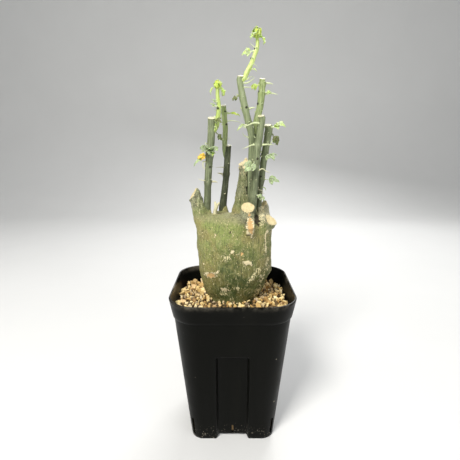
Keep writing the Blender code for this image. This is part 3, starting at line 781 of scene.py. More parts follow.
# %% Find the saw cuts on the CAD caudex
def saw_cuts(node, fewest=8):
    """The flat slanted faces of a node, as (middle, normal, radius): groups of triangles that lie
    in one plane."""
    mesh = frame["nodes"][node].data
    groups = {}
    for face in mesh.polygons:
        key = (*[round(v, 2) for v in face.normal], round(face.center.dot(face.normal) / MM, 0))
        groups.setdefault(key, []).append(face)
    cuts = []
    for faces in groups.values():
        normal = sum((f.normal * f.area for f in faces), Vector()).normalized()
        if len(faces) < fewest or abs(normal.z) > 0.97:
            continue
        corners = [mesh.vertices[v].co for f in faces for v in f.vertices]
        middle = sum(corners, Vector()) / len(corners)
        cuts.append((middle, normal, max((c - middle).length for c in corners)))
    return cuts


cuts = saw_cuts("caudex")
FACING = {   # corrections to some cuts: a shift in mm, and the way the cut faces
    0: ((0.4, 0, 0.9), (-0.85, -0.16, 0.50)), 3: ((-0.6, 0, 0.6), (0.42, -0.50, 0.76)),
    5: ((0, 0, 0), (-0.42, -0.60, 0.68))}
for i, (shift, way) in FACING.items():
    cuts[i] = (cuts[i][0] + Vector(shift) * MM, Vector(way).normalized(), cuts[i][2])
for middle, normal, radius in cuts:
    print("saw cut at", [round(v / MM, 1) for v in middle], "facing",
          [round(v, 2) for v in normal], "radius", round(radius / MM, 1))

# %% Fuse the caudex with a collar for each stem
def cone(shape, foot, up, length, start, end):
    """A closed cone from foot along up, for bodies that are fused later."""
    place = Matrix.Translation(foot + up * length / 2)
    place @= up.to_track_quat("Z", "Y").to_matrix().to_4x4()
    bmesh.ops.create_cone(shape, cap_ends=True, segments=24, radius1=start, radius2=end,
                          depth=length, matrix=place)


UP = Vector((0.0, 0.0, 1.0))
SKIN_VOXEL = 0.62 * MM
caudex = copy_of("caudex", "caudex_skin")
FRONT_CUT, RIGHT_CUT, TALL_CUT, BACK_CUT = cuts[1], cuts[3], cuts[4], cuts[5]
tall_cut, back_cut = TALL_CUT[0], BACK_CUT[0]
middle_foot = Vector(axes["stem_middle"][0][0])
TALL_ROUNDS = [   # upright cones in mm: foot (right, back, up) from the cut, length, radii
    ((-1.6, -0.6, -13.0), 12.0, 3.4, 4.0), ((-0.6, -2.2, -38.0), 20.0, 4.2, 3.0),
    ((-0.2, -1.8, -24.0), 15.0, 3.1, 2.7)]
OTHER_ROUNDS = [(middle_foot, (-2.4, -1.0, -2.4), 5.4, 8.0, 2.9),
                (back_cut, (0.6, -1.2, -14.0), 13.2, 4.8, 3.5)]
with editing(caudex.data) as shape:
    for name in STEMS:
        line, radii = axes[name]
        foot, girth = Vector(line[0]), float(np.median(radii))
        up = (Vector(line[8]) - foot).normalized()
        cone(shape, foot - up * 3.5 * MM, up, 9.0 * MM, 1.9 * girth, 0.95 * girth)
    for step, length, start, end in TALL_ROUNDS:
        cone(shape, tall_cut + Vector(step) * MM, UP, length * MM, start * MM, end * MM)
    for (middle, normal, radius), wide in ((FRONT_CUT, 0.95), (RIGHT_CUT, 0.78)):
        cone(shape, middle - normal * 5 * MM, normal, 5 * MM, radius * wide * 1.1, radius * wide)
    for place, step, length, start, end in OTHER_ROUNDS:
        cone(shape, place + Vector(step) * MM, UP, length * MM, start * MM, end * MM)
remesh(caudex, SKIN_VOXEL)
melt = caudex.modifiers.new("melt the joins", "SMOOTH")
melt.factor = 0.5
melt.iterations = 7
apply_modifiers(caudex)
print("fused caudex:", len(caudex.data.vertices), "points")


# %% Weather the caudex
def relief(points, size, squash=(1.0, 1.0, 1.0), shift=0.0):
    """Smooth noise of the given size, drawn out along an axis where squash is under one."""
    return np.array([noise.noise(Vector(p)) for p in points * squash / size + shift])


def soft(value, low, high):
    share = np.clip((value - low) / (high - low), 0.0, 1.0)
    return share * share * (3 - 2 * share)


def normals_of(target):
    found = np.empty(len(target.data.vertices) * 3, np.float32)
    target.data.vertex_normals.foreach_get("vector", found)
    return found.reshape(-1, 3).astype(float)


CUT_REACH = [18 * MM, 14 * MM, 6 * MM, 11 * MM, 37 * MM, 12 * MM]   # how far its cork spreads
STUB_SWELL = 2.3 * MM        # how far the skin bulges under the front stub
CROWN_DROP, BACK_DROP = 1.2 * MM, 1.4 * MM      # how far the crown sinks, and more at the back
points, outward = coordinates(caudex), normals_of(caudex)
cork = np.zeros(len(points))
for (middle, normal, radius), reach in zip(cuts, CUT_REACH):
    away = np.linalg.norm(points - np.array(middle), axis=1)
    cork = np.maximum(cork, 1 - soft(away, 0.55 * reach, 1.15 * reach))
furrows = relief(points, 2.0 * MM, (1, 1, 0.14))
calm = 1 - 0.85 * cork
growth = (relief(points, 15 * MM) * 1.2 * calm + relief(points, 5 * MM, shift=7.0) * 0.5 * calm
          + furrows * (0.20 + 0.30 * cork) - 0.25 * cork
          + relief(points, 1.6 * MM, shift=3.0) * (0.14 + 0.26 * cork)) * MM
points += outward * growth[:, None]
under = points - np.array(FRONT_CUT[0] + Vector((-2.0, 0.0, -12.0)) * MM)
swell = np.exp(-(under[:, 0] / (5.5 * MM)) ** 2 - (under[:, 2] / (8 * MM)) ** 2)
points += outward * (swell * soft(-outward[:, 1], 0.0, 0.5) * STUB_SWELL)[:, None]
crown = soft(outward[:, 2], 0.4, 0.85) * soft(points[:, 2], GRIT_TOP + 58 * MM, GRIT_TOP + 63 * MM)
drop = CROWN_DROP + soft(points[:, 1], -8 * MM, 8 * MM) * BACK_DROP
points[:, 2] -= crown * (1 - cork) * drop
print("bark stands out by up to", round(growth.max() / MM, 2), "mm")

# %% [markdown]
# Old wounds make the skin look lived in. Each is an oval on the front of the caudex, given by how
# far it is from the middle, how far above the grit, its half width and half height, its lean and
# what it shows: a cream chip of dead bark, a tan scar, a dent painted dark as painted shade, or
# skin that flakes. They dent the skin, and they are kept as attributes of its points for the
# finish to read.

# %% Scars and saw cuts
SCARS = [
    (-16.2, 20.6, 4.2, 2.1, 12, "chip"), (-16.0, 20.4, 3.4, 1.6, 12, "tan"),
    (-11.4, 23.4, 1.8, 1.2, 40, "chip"),
    (11.2, 30.6, 3.6, 1.8, -14, "chip"), (6.7, 38.0, 1.2, 1.4, 0, "tan"),
    (-0.3, 39.4, 1.3, 1.2, 0, "chip"), (-6.0, 10.6, 3.0, 1.3, -8, "chip"),
    (24.8, 51.6, 1.7, 1.1, 0, "chip"), (-12.4, 50.8, 0.8, 0.7, 0, "chip"),
    (-1.5, 52.9, 0.5, 0.5, 0, "hollow"), (-1.5, 53.0, 2.0, 2.0, 0, "flaky"),
    (-21.0, 27.6, 0.8, 0.8, 0, "chip"),
    (12.2, 57.6, 2.8, 7.8, 3, "chip"), (12.2, 57.8, 1.5, 5.8, 4, "tan"),
    (11.4, 51.4, 1.3, 0.7, 15, "hollow"), (12.6, 92.5, 1.7, 5.5, -6, "hollow"),
    (12.0, 80.5, 1.6, 3.2, 0, "hollow"), (17.4, 62.0, 1.7, 6.5, 10, "hollow"),
    (22.4, 70.2, 2.2, 4.2, 12, "chip"), (22.6, 71.0, 0.6, 0.7, 0, "hollow"),
    (15.6, 20.8, 8.0, 3.0, 50, "flaky"),
    (23.4, 48.0, 0.6, 4.2, 3, "chip"), (24.0, 40.0, 0.5, 2.6, -4, "chip"),
    (24.0, 41.0, 2.0, 8.0, 3, "flaky"), (25.6, 28.0, 2.2, 8.0, 0, "flaky"),
    (21.6, 18.0, 2.5, 7.0, -22, "flaky"), (-6.8, 7.6, 3.2, 2.4, 25, "flaky"),
    (-4.5, 34.5, 4.5, 3.5, 20, "flaky"), (3.5, 12.0, 3.0, 2.0, 0, "flaky"),
    (18.8, 7.0, 2.5, 7.0, -30, "flaky"), (21.0, 62.0, 5.0, 8.0, 0, "flaky"),
]
marks = {kind: np.zeros(len(points)) for kind in ("chip", "tan", "hollow", "flaky")}
ragged = relief(points, 1.4 * MM, shift=20.0) * 0.7
front = soft(-outward[:, 1], -0.15, 0.1)
for across, above, wide, tall, lean, kind in SCARS:
    turn = math.radians(lean)
    dx, dz = points[:, 0] - across * MM, points[:, 2] - GRIT_TOP - above * MM
    u = (dx * math.cos(turn) + dz * math.sin(turn)) / (wide * MM)
    v = (dz * math.cos(turn) - dx * math.sin(turn)) / (tall * MM)
    edge = 1.0 if kind == "flaky" else 0.35
    inside = soft(1.15 - np.hypot(u, v) + ragged, 0.0, edge) * front
    marks[kind] = np.maximum(marks[kind], inside)
sides = soft(np.abs(outward[:, 0]) + relief(points, 3 * MM, shift=31.0), 0.75, 1.1)
flakes = soft(relief(points, 2.2 * MM, (1, 1, 0.45), 40.0), 0.30, 0.42) * sides
right = soft(points[:, 0], 12 * MM, 24 * MM)
marks["chip"] = np.maximum(marks["chip"], flakes * (0.3 + 0.4 * right))
points -= outward * ((marks["hollow"] * 1.9 + marks["tan"] * 0.35 - marks["chip"] * 0.22)
                     * MM)[:, None]

sawn = np.zeros(len(points))
for middle, normal, radius in cuts:
    offset = points - np.array(middle)
    height = offset @ np.array(normal)
    flat = offset - height[:, None] * np.array(normal)
    reach = np.linalg.norm(flat, axis=1)
    if middle in (FRONT_CUT[0], RIGHT_CUT[0]):       # the short stubs are round
        near = (reach < 1.3 * radius) & (abs(height) < 5 * MM) & (reach > 0.88 * radius)
        pull = (0.88 * radius / reach[near] - 1) * soft(height[near], -4 * MM, -1 * MM) * 0.9
        points[near] += flat[near] * pull[:, None]
        reach[near] *= 1 + pull
    top = (height > -0.75 * MM) & (reach < 1.35 * radius) & (height < 5 * MM)
    grain = relief(points[top], 1.0 * MM, shift=9.0) * 0.45 * MM
    dish = -0.35 * MM * (1 - (reach[top] / radius) ** 2)
    points[top] -= np.array(normal) * (height[top] - grain - dish)[:, None]
    rim = soft(radius * 1.05 - reach[top], -0.1 * radius, 0.15 * radius)
    if radius > 4 * MM or normal.z > 0.7 or middle is back_cut:
        outside = 0.05 if middle is RIGHT_CUT[0] else 0.35     # how bare the bark round it is
        sawn[top] = np.maximum(sawn[top], outside + (1 - outside) * rim)
splinter = relief(points, 1.3 * MM, (1, 1, 0.5), 50.0)
broken = soft(points[:, 2] + splinter * 3 * MM, caudex_high.z - 8 * MM, caudex_high.z - 5 * MM)
points += outward * (broken * splinter * 2.2 * MM)[:, None]
points[:, 2] -= broken * np.clip(tall_cut.x + 3 * MM - points[:, 0], 0, 8 * MM) * 0.4
marks["chip"] = np.maximum(marks["chip"], broken)
set_coordinates(caudex, points)
for name, values in {**marks, "sawn": sawn, "cork": cork}.items():
    keep_attribute(caudex, name, values)
print("caudex is", [round(v / MM, 1) for v in np.ptp(points, axis=0)], "mm overall")

# %% [markdown]
# Living bark is mixed from the inside out. Green shows through a thin tan skin, and a lighter
# green is painted on its upper left, the side the key lamp lights, as painted light. Fine cracks
# run up it, cream pores dot it, and the wounds and cuts lie on top. The saw cuts are dry, pale
# wood with a warm ring under the bark.

# %% Bark finish
bark = Finish("caudex bark", 0.66)
x, z = bark.axis(0), bark.axis(2)


def band(low, high, least=0.0, most=1.0):
    """Rises as height over the grit, in millimetres, goes from low to high."""
    return bark.span(z, GRIT_TOP + low * MM, GRIT_TOP + high * MM, least, most)


height = band(0, 60)
lit_side = bark.span(x, 24 * MM, -24 * MM)
blotch = bark.noise(75.0, detail=5.0, rough=0.6, twist=0.6)
streak = bark.noise(1.0, bark.stretched((900.0, 900.0, 130.0)), detail=4.0, rough=0.65)
fine = bark.noise(1.0, bark.stretched((2600.0, 2600.0, 900.0)), detail=3.0, rough=0.7)
mottle = bark.noise(420.0, detail=5.0, rough=0.7, twist=1.2)
tan_skin = bark.mix(height, (0.195, 0.170, 0.045), (0.33, 0.285, 0.100))
bark.skin = bark.mix(height, (0.085, 0.110, 0.022), (0.215, 0.245, 0.066))
# painted light: a lighter green on the upper left, where the key lamp falls
bark.layer(bark.times(lit_side, height), (0.275, 0.335, 0.092))
bark.over(blotch, 0.40, 0.64, tan_skin, 0.85)
low_down = band(48, 26)
off_middle = bark.math("ABSOLUTE", bark.math("SUBTRACT", x, 1.5 * MM))
damp = bark.times(bark.span(off_middle, 19 * MM, 7 * MM), low_down)
bark.layer(bark.times(damp, bark.span(blotch, 0.66, 0.42, 0.1, 0.85)), (0.055, 0.085, 0.017))
dry_side = bark.times(bark.span(x, -9 * MM, -19 * MM), low_down)
bark.layer(bark.times(dry_side, 0.45), (0.36, 0.31, 0.09))
for pattern, low, high, colour, most in (
        (streak, 0.52, 0.70, (0.42, 0.40, 0.20), 0.65),
        (streak, 0.46, 0.32, (0.05, 0.062, 0.02), 0.70),
        (mottle, 0.54, 0.68, (0.50, 0.45, 0.19), 0.60),
        (mottle, 0.46, 0.32, (0.045, 0.06, 0.015), 0.75),
        (fine, 0.42, 0.30, (0.06, 0.07, 0.025), 0.50)):
    bark.over(pattern, low, high, colour, most)
pore = bark.times(bark.span(bark.cells(430.0), 0.24, 0.12),
                  bark.span(bark.noise(150.0, detail=2.0), 0.48, 0.56))
bark.layer(bark.times(pore, 0.85), (0.80, 0.70, 0.34))

corky = bark.mix(bark.span(streak, 0.38, 0.64), (0.06, 0.07, 0.032), (0.40, 0.41, 0.24))
corky = bark.mix(bark.span(mottle, 0.50, 0.32, 0.0, 0.85), corky, (0.08, 0.075, 0.035))
corky = bark.mix(bark.span(fine, 0.54, 0.66, 0.0, 0.7), corky, (0.66, 0.62, 0.40))
crown_rim = bark.times(band(57, 61), band(66, 62, 0.1, 0.5))
bark.layer(crown_rim, bark.mix(mottle, (0.20, 0.17, 0.09), (0.46, 0.41, 0.24)))
bark.layer(bark.times(bark.attribute("cork"), bark.span(blotch, 0.30, 0.55, 0.45, 0.95)), corky)
# painted shade: the upper part of the tall stub is darkened
tall_stub_shade = bark.times(bark.span(x, -8 * MM, -3 * MM), bark.span(x, 19 * MM, 16 * MM))
bark.layer(bark.times(band(63, 72, 0.0, 0.2), tall_stub_shade), (0.05, 0.06, 0.03))
# painted light: the back stub is lightened, where the front stems shade it from the key lamp
back_stub_light = bark.times(bark.span(x, 17 * MM, 20 * MM), band(57, 62, 0.0, 0.55))
bark.layer(back_stub_light, bark.mix(mottle, (0.30, 0.29, 0.18), (0.80, 0.74, 0.52)))

# %% [markdown]
# The marks are coarse on the mesh, so noise is added to each one before it is cut to a clean
# edge. That gives torn outlines finer than the mesh, and a thin dark line of painted shade where
# the skin lifts round them.

# %% Bark wounds
grain = bark.noise(1800.0, detail=4.0, rough=0.7)
torn = bark.span(bark.noise(1100.0, detail=3.0, rough=0.6), 0.25, 0.75, -0.42, 0.42)


def wound(mark, low, high, edge):
    """Lays a torn patch over the bark, inside a dark line of painted shade."""
    felt = bark.plus(bark.attribute(mark), torn)
    # painted shade: the dark line round each patch
    bark.over(felt, 0.30, 0.50, (0.05, 0.04, 0.018), edge)
    bark.over(felt, 0.50, 0.62, bark.mix(grain, low, high))


flake = bark.noise(1.0, bark.stretched((760.0, 760.0, 330.0)), detail=4.0, rough=0.65, twist=1.2)
flake = bark.plus(flake, bark.times(bark.attribute("flaky"), 0.16))
# painted shade: a dark line under the edge of each flake
bark.over(flake, 0.595, 0.625, (0.05, 0.045, 0.02), 0.7)
bark.over(flake, 0.625, 0.65, bark.mix(grain, (0.62, 0.53, 0.25), (0.95, 0.86, 0.52)))
# painted shade: the dents are painted near black, standing for the shade inside them
wound("hollow", (0.025, 0.02, 0.01), (0.11, 0.085, 0.04), 0.5)
wound("chip", (0.62, 0.51, 0.27), (0.98, 0.88, 0.58), 0.85)
wound("tan", (0.50, 0.27, 0.08), (0.90, 0.62, 0.28), 0.4)
rings = bark.span(bark.cells(500.0), 0.1, 0.7)
wood = bark.mix(bark.span(grain, 0.35, 0.65), (0.66, 0.50, 0.23), (0.88, 0.76, 0.43))
wood = bark.mix(bark.times(rings, 0.35), wood, (0.90, 0.80, 0.50))
bark.over(bark.plus(bark.attribute("sawn"), bark.times(torn, 0.5)), 0.50, 0.68, wood)
bark.end((flake, 0.0005), (streak, 0.0005), (mottle, 0.0006), (fine, 0.0003), (pore, 0.0003),
         (grain, 0.00012), rough=bark.span(fine, 0.3, 0.7, 0.52, 0.80))
caudex.data.shade_smooth()
finish_piece(caudex, bark, "bark", "caudex")
print("bark:", len(bark.tree.nodes), "nodes")

# %% [markdown]
# Stems, shoots, spines and tendrils are the same thing to a maker: a section swept along a line
# while its girth changes. One Geometry Nodes tree does all of them. The source is a bare polyline
# whose points carry their girth, and the tree sweeps a ribbed circle along it, then roughens the
# skin. The stems end in flat, pale cuts, which are made by letting the girth fall away within the
# last half millimetre.

# %% The sweeping tree
sweep_tree = Tree("sweep a stem", {
    "Finish": ("Material", None), "Sides": ("Int", 24), "Ribs": ("Float", 7.0),
    "Rib Depth": ("Float", 0.05), "Wobble": ("Float", 0.3 * MM),
    "Wobble Size": ("Float", 250.0)})
given = sweep_tree.inputs
here = sweep_tree.call("GeometryNodeInputPosition", {})
turned = sweep_tree.math("DIVIDE", sweep_tree.call("GeometryNodeInputIndex", {}), given["Sides"])
turned = sweep_tree.times(sweep_tree.times(turned, given["Ribs"]), 2 * math.pi)
rib = sweep_tree.math("MULTIPLY_ADD", sweep_tree.math("COSINE", turned), given["Rib Depth"], 1.0)
section = sweep_tree.call("GeometryNodeCurvePrimitiveCircle", {
    "Resolution": given["Sides"], "Radius": 1.0})
section = sweep_tree.move(section, Position=sweep_tree.scaled(here, rib))
swept = sweep_tree.call("GeometryNodeCurveToMesh", {
    "Curve": sweep_tree.call("GeometryNodeMeshToCurve", {"Mesh": given["Geometry"]}),
    "Profile Curve": section, "Scale": sweep_tree.stored("girth"), "Fill Caps": True})
bumps = sweep_tree.call("ShaderNodeTexNoise", {
    "Vector": here, "Scale": given["Wobble Size"], "Detail": 2.0})
bumps = sweep_tree.times(sweep_tree.plus(bumps, -0.5), given["Wobble"])
facing = sweep_tree.call("GeometryNodeInputNormal", {})
sweep_tree.end(sweep_tree.move(swept, Offset=sweep_tree.scaled(facing, bumps)))


def strands(name, routes, finish, sides, ribs, depth, wobble, tone=0.5):
    """Sweeps every route, a list of (point, girth, mark) with the mark kept for the finish."""
    stops, edges = [], []
    for route in routes:
        edges += [(len(stops) + i, len(stops) + i + 1) for i in range(len(route) - 1)]
        stops += route
    points, girths, marked = zip(*stops)
    mesh = bpy.data.meshes.new(name + " route")
    mesh.from_pydata([tuple(p) for p in points], edges, [])
    source = placed(name + " route", mesh)
    keep_attribute(source, "girth", girths)
    keep_attribute(source, "mark", marked)
    keep_attribute(source, "tone", [tone] * len(points))
    made = grow(name, source, sweep_tree, {
        "Finish": finish.material, "Sides": sides, "Ribs": ribs, "Rib Depth": depth,
        "Wobble": wobble})
    with editing(made.data) as shape:
        bmesh.ops.recalc_face_normals(shape, faces=shape.faces)
    made.data.shade_smooth()
    made.data.set_sharp_from_angle(angle=math.radians(50))
    return made


# %% [markdown]
# The stems are blue-green, thinly waxed, and streaked lengthwise by the strands under the skin.
# They darken towards their feet. The young shoots are softer and far brighter, lime at the top
# and greyer where they have begun to harden. The mark at a cut end shows as pale wood.

# %% Stem and shoot finishes
def stem_finish(name, roughness, dark, mid, pale, low, high):
    made = Finish(name, roughness)
    streaks = made.noise(1.0, made.stretched((1500.0, 1500.0, 70.0)), detail=4.0, rough=0.6)
    cloud = made.noise(170.0, detail=4.0, rough=0.6)
    pith = made.noise(2500.0, detail=3.0)
    # tone is painted light and shade for each stem: a low tone darkens the stem and thins its pale
    # strands
    tone = made.attribute("tone")
    painted_light_share = made.plus(made.times(tone, 0.65), 0.35)
    made.skin = tuple(v * 0.55 for v in dark)
    made.layer(tone, made.mix(made.span(made.axis(2), low, high), dark, mid))
    made.layer(made.times(made.span(streaks, 0.47, 0.68, 0.0, 0.75), painted_light_share), pale)
    made.over(streaks, 0.46, 0.30, tuple(v * 0.45 for v in dark), 0.6)
    made.layer(made.times(made.span(cloud, 0.50, 0.75, 0.0, 0.45), painted_light_share), pale)
    dots = made.times(made.span(made.cells(900.0), 0.20, 0.10), made.span(cloud, 0.52, 0.62))
    made.layer(made.times(dots, 0.5), (0.60, 0.60, 0.42))
    made.over(made.attribute("mark"), 0.4, 0.8,
              made.mix(pith, (0.50, 0.48, 0.28), (0.72, 0.70, 0.45)))
    made.end((streaks, 0.00022), (cloud, 0.00025), (pith, 0.00005),
             rough=made.span(cloud, 0.3, 0.7, roughness - 0.08, roughness + 0.12))
    made.let_light_in(0.12, (0.0006, 0.0009, 0.0003))
    return made


stem_skin = stem_finish("stem skin", 0.52, (0.090, 0.105, 0.048), (0.235, 0.28, 0.145),
                        (0.34, 0.385, 0.225), GRIT_TOP + 55 * MM, GRIT_TOP + 150 * MM)
shoot_skin = stem_finish("young shoot skin", 0.42, (0.40, 0.52, 0.12), (0.56, 0.68, 0.20),
                         (0.66, 0.76, 0.36), GRIT_TOP + 120 * MM, GRIT_TOP + 170 * MM)
firm_skin = stem_finish("firm shoot skin", 0.46, (0.21, 0.27, 0.10), (0.30, 0.37, 0.14),
                        (0.44, 0.50, 0.26), GRIT_TOP + 75 * MM, GRIT_TOP + 135 * MM)
# painted light and shade: each stem's tone lightens or darkens it by how it is lit, so stem_middle
# is darkened as shaded and stem_right is lightened against the front stems' shadow
TONES = {"stem_left": 0.75, "stem_middle": 0.08, "stem_tall": 1.0, "stem_forked": 0.7,
         "stem_front": 0.8, "stem_right": 0.85, "shoot_left": 1.0, "shoot_middle": 1.0,
         "shoot_tall": 1.0, "shoot_forked": 0.72}
print("mixed", stem_skin.material.name, "with", len(stem_skin.tree.nodes), "nodes")


# %% Joints along the stems
def nearest_axis(point):
    """The stem or shoot that a place belongs to, and the nearest point of its middle line."""
    best = None
    for name, (line, _) in axes.items():
        away = np.linalg.norm(line - point, axis=1)
        found = (away.min(), name, line[away.argmin()])
        best = min(best, found, key=lambda item: item[0]) if best else found
    return best


GROWTHS = [n for n in sorted(frame["nodes"]) if n.startswith(("leaf_", "spine_"))]
joints = {name: [] for name in axes}
feet = {}
for node in GROWTHS:
    points = np.array([v.co for v in frame["nodes"][node].data.vertices])
    found = [nearest_axis(p) for p in points]
    foot = min(range(len(found)), key=lambda i: found[i][0])
    tip = np.linalg.norm(points - points[foot], axis=1).argmax()
    _, stem, middle = found[foot]
    joints[stem].append(float(points[foot][2]))
    feet[node] = (Vector(middle), Vector(points[foot]), Vector(points[tip]))
for name, heights in joints.items():
    print(name, "has joints at", [round(z / MM) for z in sorted(heights)], "mm")


def swollen(name, z, girth):
    """The girth there, swollen a little at each joint."""
    for joint in joints[name]:
        girth *= 1 + 0.16 * math.exp(-(((z - joint) / (1.6 * MM)) ** 2))
    return girth


HIDDEN = {"shoot_tall": 0.13}      # how much of a shoot's foot is grown over by its stem
BEHIND = {"shoot_middle": np.array((-1.2, 3.6, 0.0)) * MM}      # where its foot stands back

CUT_LEAN = 0.32              # how far a cut stem's top leans to the front
CUT_RINGS = [   # how a stem ends: how far past its top in mm, its girth there, its end mark
    (-0.20, 1.05, 1.0), (0.10, 1.04, 1.0), (0.20, 0.90, 0.9), (0.10, 0.66, 0.56),
    (0.08, 0.3, 0.56)]


def stem_route(name, cut=True):
    """A stem's line and girths, from inside what it grows out of to its tip."""
    line, radii = axes[name]
    hidden = int(len(line) * HIDDEN.get(name, 0.0))
    line, radii = line[hidden:], radii[hidden:]
    near_foot = 1 - soft(np.linspace(0, 1, len(line)), 0.15, 0.6)
    line = line + near_foot[:, None] * BEHIND.get(name, 0.0)
    foot, top = Vector(line[0]), Vector(line[-1])
    down = (foot - Vector(line[3])).normalized()
    route = [(foot + down * 2 * MM, float(radii[2]), 0.0)]
    if name in SHOOTS:
        parent = min(STEMS, key=lambda stem: np.linalg.norm(axes[stem][0] - line[0], axis=1).min())
        main = axes[parent][0]
        heart = Vector(main[np.linalg.norm(main - line[0], axis=1).argmin()]) - UP * 3 * MM
        route = [(heart, float(radii[2]) * 0.9, 0.0),
                 (heart.lerp(foot, 0.6) - UP * 0.4 * MM, float(radii[2]), 0.0)]
    last = len(line) - 1
    for i, (point, radius) in enumerate(zip(line, radii)):
        radius = float(radii[2]) if i < 2 else float(radius)
        radius = float(radii[last - 2]) if i > last - 2 else radius
        route.append((Vector(point), swollen(name, point[2], radius), 0.0))
    up = (top - Vector(line[-4])).normalized()
    girth = route[-1][1]
    if cut:
        route[-1] = (top - up * 0.35 * MM, girth, 0.0)
        route += [(top + up * rise * MM, girth * wide, mark) for rise, wide, mark in CUT_RINGS]
    else:
        route.append((top + up * 0.6 * MM, girth * 0.8, 0.0))
    return route


def slant_top(piece, name, lean):
    """Shears the last few millimetres, so that the cut leans towards the front."""
    line, _ = axes[name]
    points, top = coordinates(piece), line[-1]
    share = np.clip((points[:, 2] - (top[2] - 4 * MM)) / (4 * MM), 0, 1)
    points[:, 2] += share * (points[:, 1] - top[1]) * lean
    set_coordinates(piece, points)


for name in STEMS:
    made = strands(name + "_skin", [stem_route(name)], stem_skin, 28, 9.0, 0.02, 0.45 * MM,
                   TONES[name])
    slant_top(made, name, CUT_LEAN)
    finish_piece(made, stem_skin, "stem_skin", name)
PRUNED = ("shoot_middle", "shoot_forked")
for name in SHOOTS:
    skin_of = firm_skin if name in PRUNED else shoot_skin
    made = strands(name + "_skin", [stem_route(name, cut=name in PRUNED)], skin_of, 20, 5.0,
                   0.06, 0.45 * MM, TONES[name])
    if name in PRUNED:
        slant_top(made, name, CUT_LEAN)
    finish_piece(made, skin_of, "shoot_skin", name)
print("swept", len(STEMS), "stems and", len(SHOOTS), "shoots")

# %% [markdown]
# The leaves are young, so they are small, thick and cut into toothed lobes, and each folds along
# its midrib. A lobe is a narrow grid laid over a bent line: its width follows a bud's outline,
# with teeth, and its halves lift like an open book. `Foliage` gathers lobes and stalks into one
# piece. Each point keeps how far it is along the lobe and across it, so that veins can follow.


# %% A builder for leaves
class Foliage:
    """Gathers lobes and stalks, then makes them one piece."""

    def __init__(self):
        self.points, self.faces, self.along, self.across, self.tones = [], [], [], [], []
        self.tone = 0.5

    def sheet(self, rows):
        """Each row is a list of (point, across), all the same length."""
        start, wide = len(self.points), len(rows[0])
        for i, row in enumerate(rows):
            for point, across in row:
                self.points.append(point)
                self.along.append(i / (len(rows) - 1))
                self.across.append(across)
                self.tones.append(self.tone)
        for i in range(len(rows) - 1):
            for j in range(wide - 1):
                a = start + i * wide + j
                self.faces.append((a, a + 1, a + wide + 1, a + wide))

    def lobe(self, foot, tip, up, width, bulge=0.15, fold=0.35, teeth=3, curl=0.0, ripple=0.25):
        """A toothed lobe from foot to tip. It arches towards up, folds by fold, and curl rolls
        its far end over."""
        run = tip - foot
        arc = max(bulge * 2.2, 0.01)
        length = run.length * arc / math.sin(arc)      # so that the arc still ends at the tip
        ahead = run.normalized()
        across = ahead.cross(up).normalized()
        up = across.cross(ahead).normalized()
        rows, centre, lean = [], foot.copy(), bulge * 2.2
        for i in range(13):
            t = i / 12
            if i:
                centre = centre + (ahead * math.cos(lean) + up * math.sin(lean)) * length / 12
            lean -= (bulge * 4.4 + curl * 2 * t) / 12
            rise = up * math.cos(lean) - ahead * math.sin(lean)
            tooth = 1 - 0.22 * ((t * teeth) % 1.0) if teeth else 1.0
            half = width / 2 * (0.10 + 0.90 * math.sin(math.pi * min(t, 0.985) ** 0.80)) * tooth
            row = []
            for s in (-1.0, -0.55, 0.0, 0.55, 1.0):
                lift = fold * abs(s) + ripple * math.sin(t * teeth * 6.28 + 1.7 * s) * abs(s)
                row.append((centre + across * (s * half) + rise * (half * lift), s))
            rows.append(row)
        self.sheet(rows)

    def stalk(self, foot, tip, girth, sag=0.1):
        """A thin stalk, as a small closed tube."""
        ahead = (tip - foot).normalized()
        side = ahead.cross(Vector((0.3, 0.2, 1.0))).normalized()
        up = side.cross(ahead)
        rows = []
        for i in range(7):
            t = i / 6
            centre = foot.lerp(tip, t) - Vector((0, 0, 1)) * sag * (tip - foot).length * (
                math.sin(math.pi * t))
            radius = girth * (1.25 - 0.45 * t)
            rows.append([(centre + (side * math.cos(a) + up * math.sin(a)) * radius, 0.0)
                         for a in (2 * math.pi * k / 7 for k in range(8))])
        self.sheet(rows)

    def make(self, name, finish, thickness=0.22 * MM):
        made = mesh_object(name, self.points, self.faces, finish, sharp=80.0)
        keep_attribute(made, "along", self.along)
        keep_attribute(made, "across", self.across)
        keep_attribute(made, "tone", self.tones)
        solid = made.modifiers.new("thickness", "SOLIDIFY")
        solid.thickness = thickness
        solid.offset = 0.0
        soften = made.modifiers.new("soften", "SUBSURF")
        soften.levels = soften.render_levels = 1
        apply_modifiers(made)
        points = coordinates(made)
        crumple = [relief(points, 2.4 * MM, shift=shift) for shift in (0.0, 40.0, 80.0)]
        set_coordinates(made, points + np.stack(crumple, axis=1) * 0.9 * MM)
        made.data.shade_smooth()
        return made


# %% [markdown]
# Leaf green is a scale, not a colour: old grey-green, fresh pale green, lime, and the orange of a
# leaf that is dying. Each leaf's `tone` picks a place on it. The midrib and the edge are paler,
# side veins run out towards the teeth, and a little light passes through the blade.

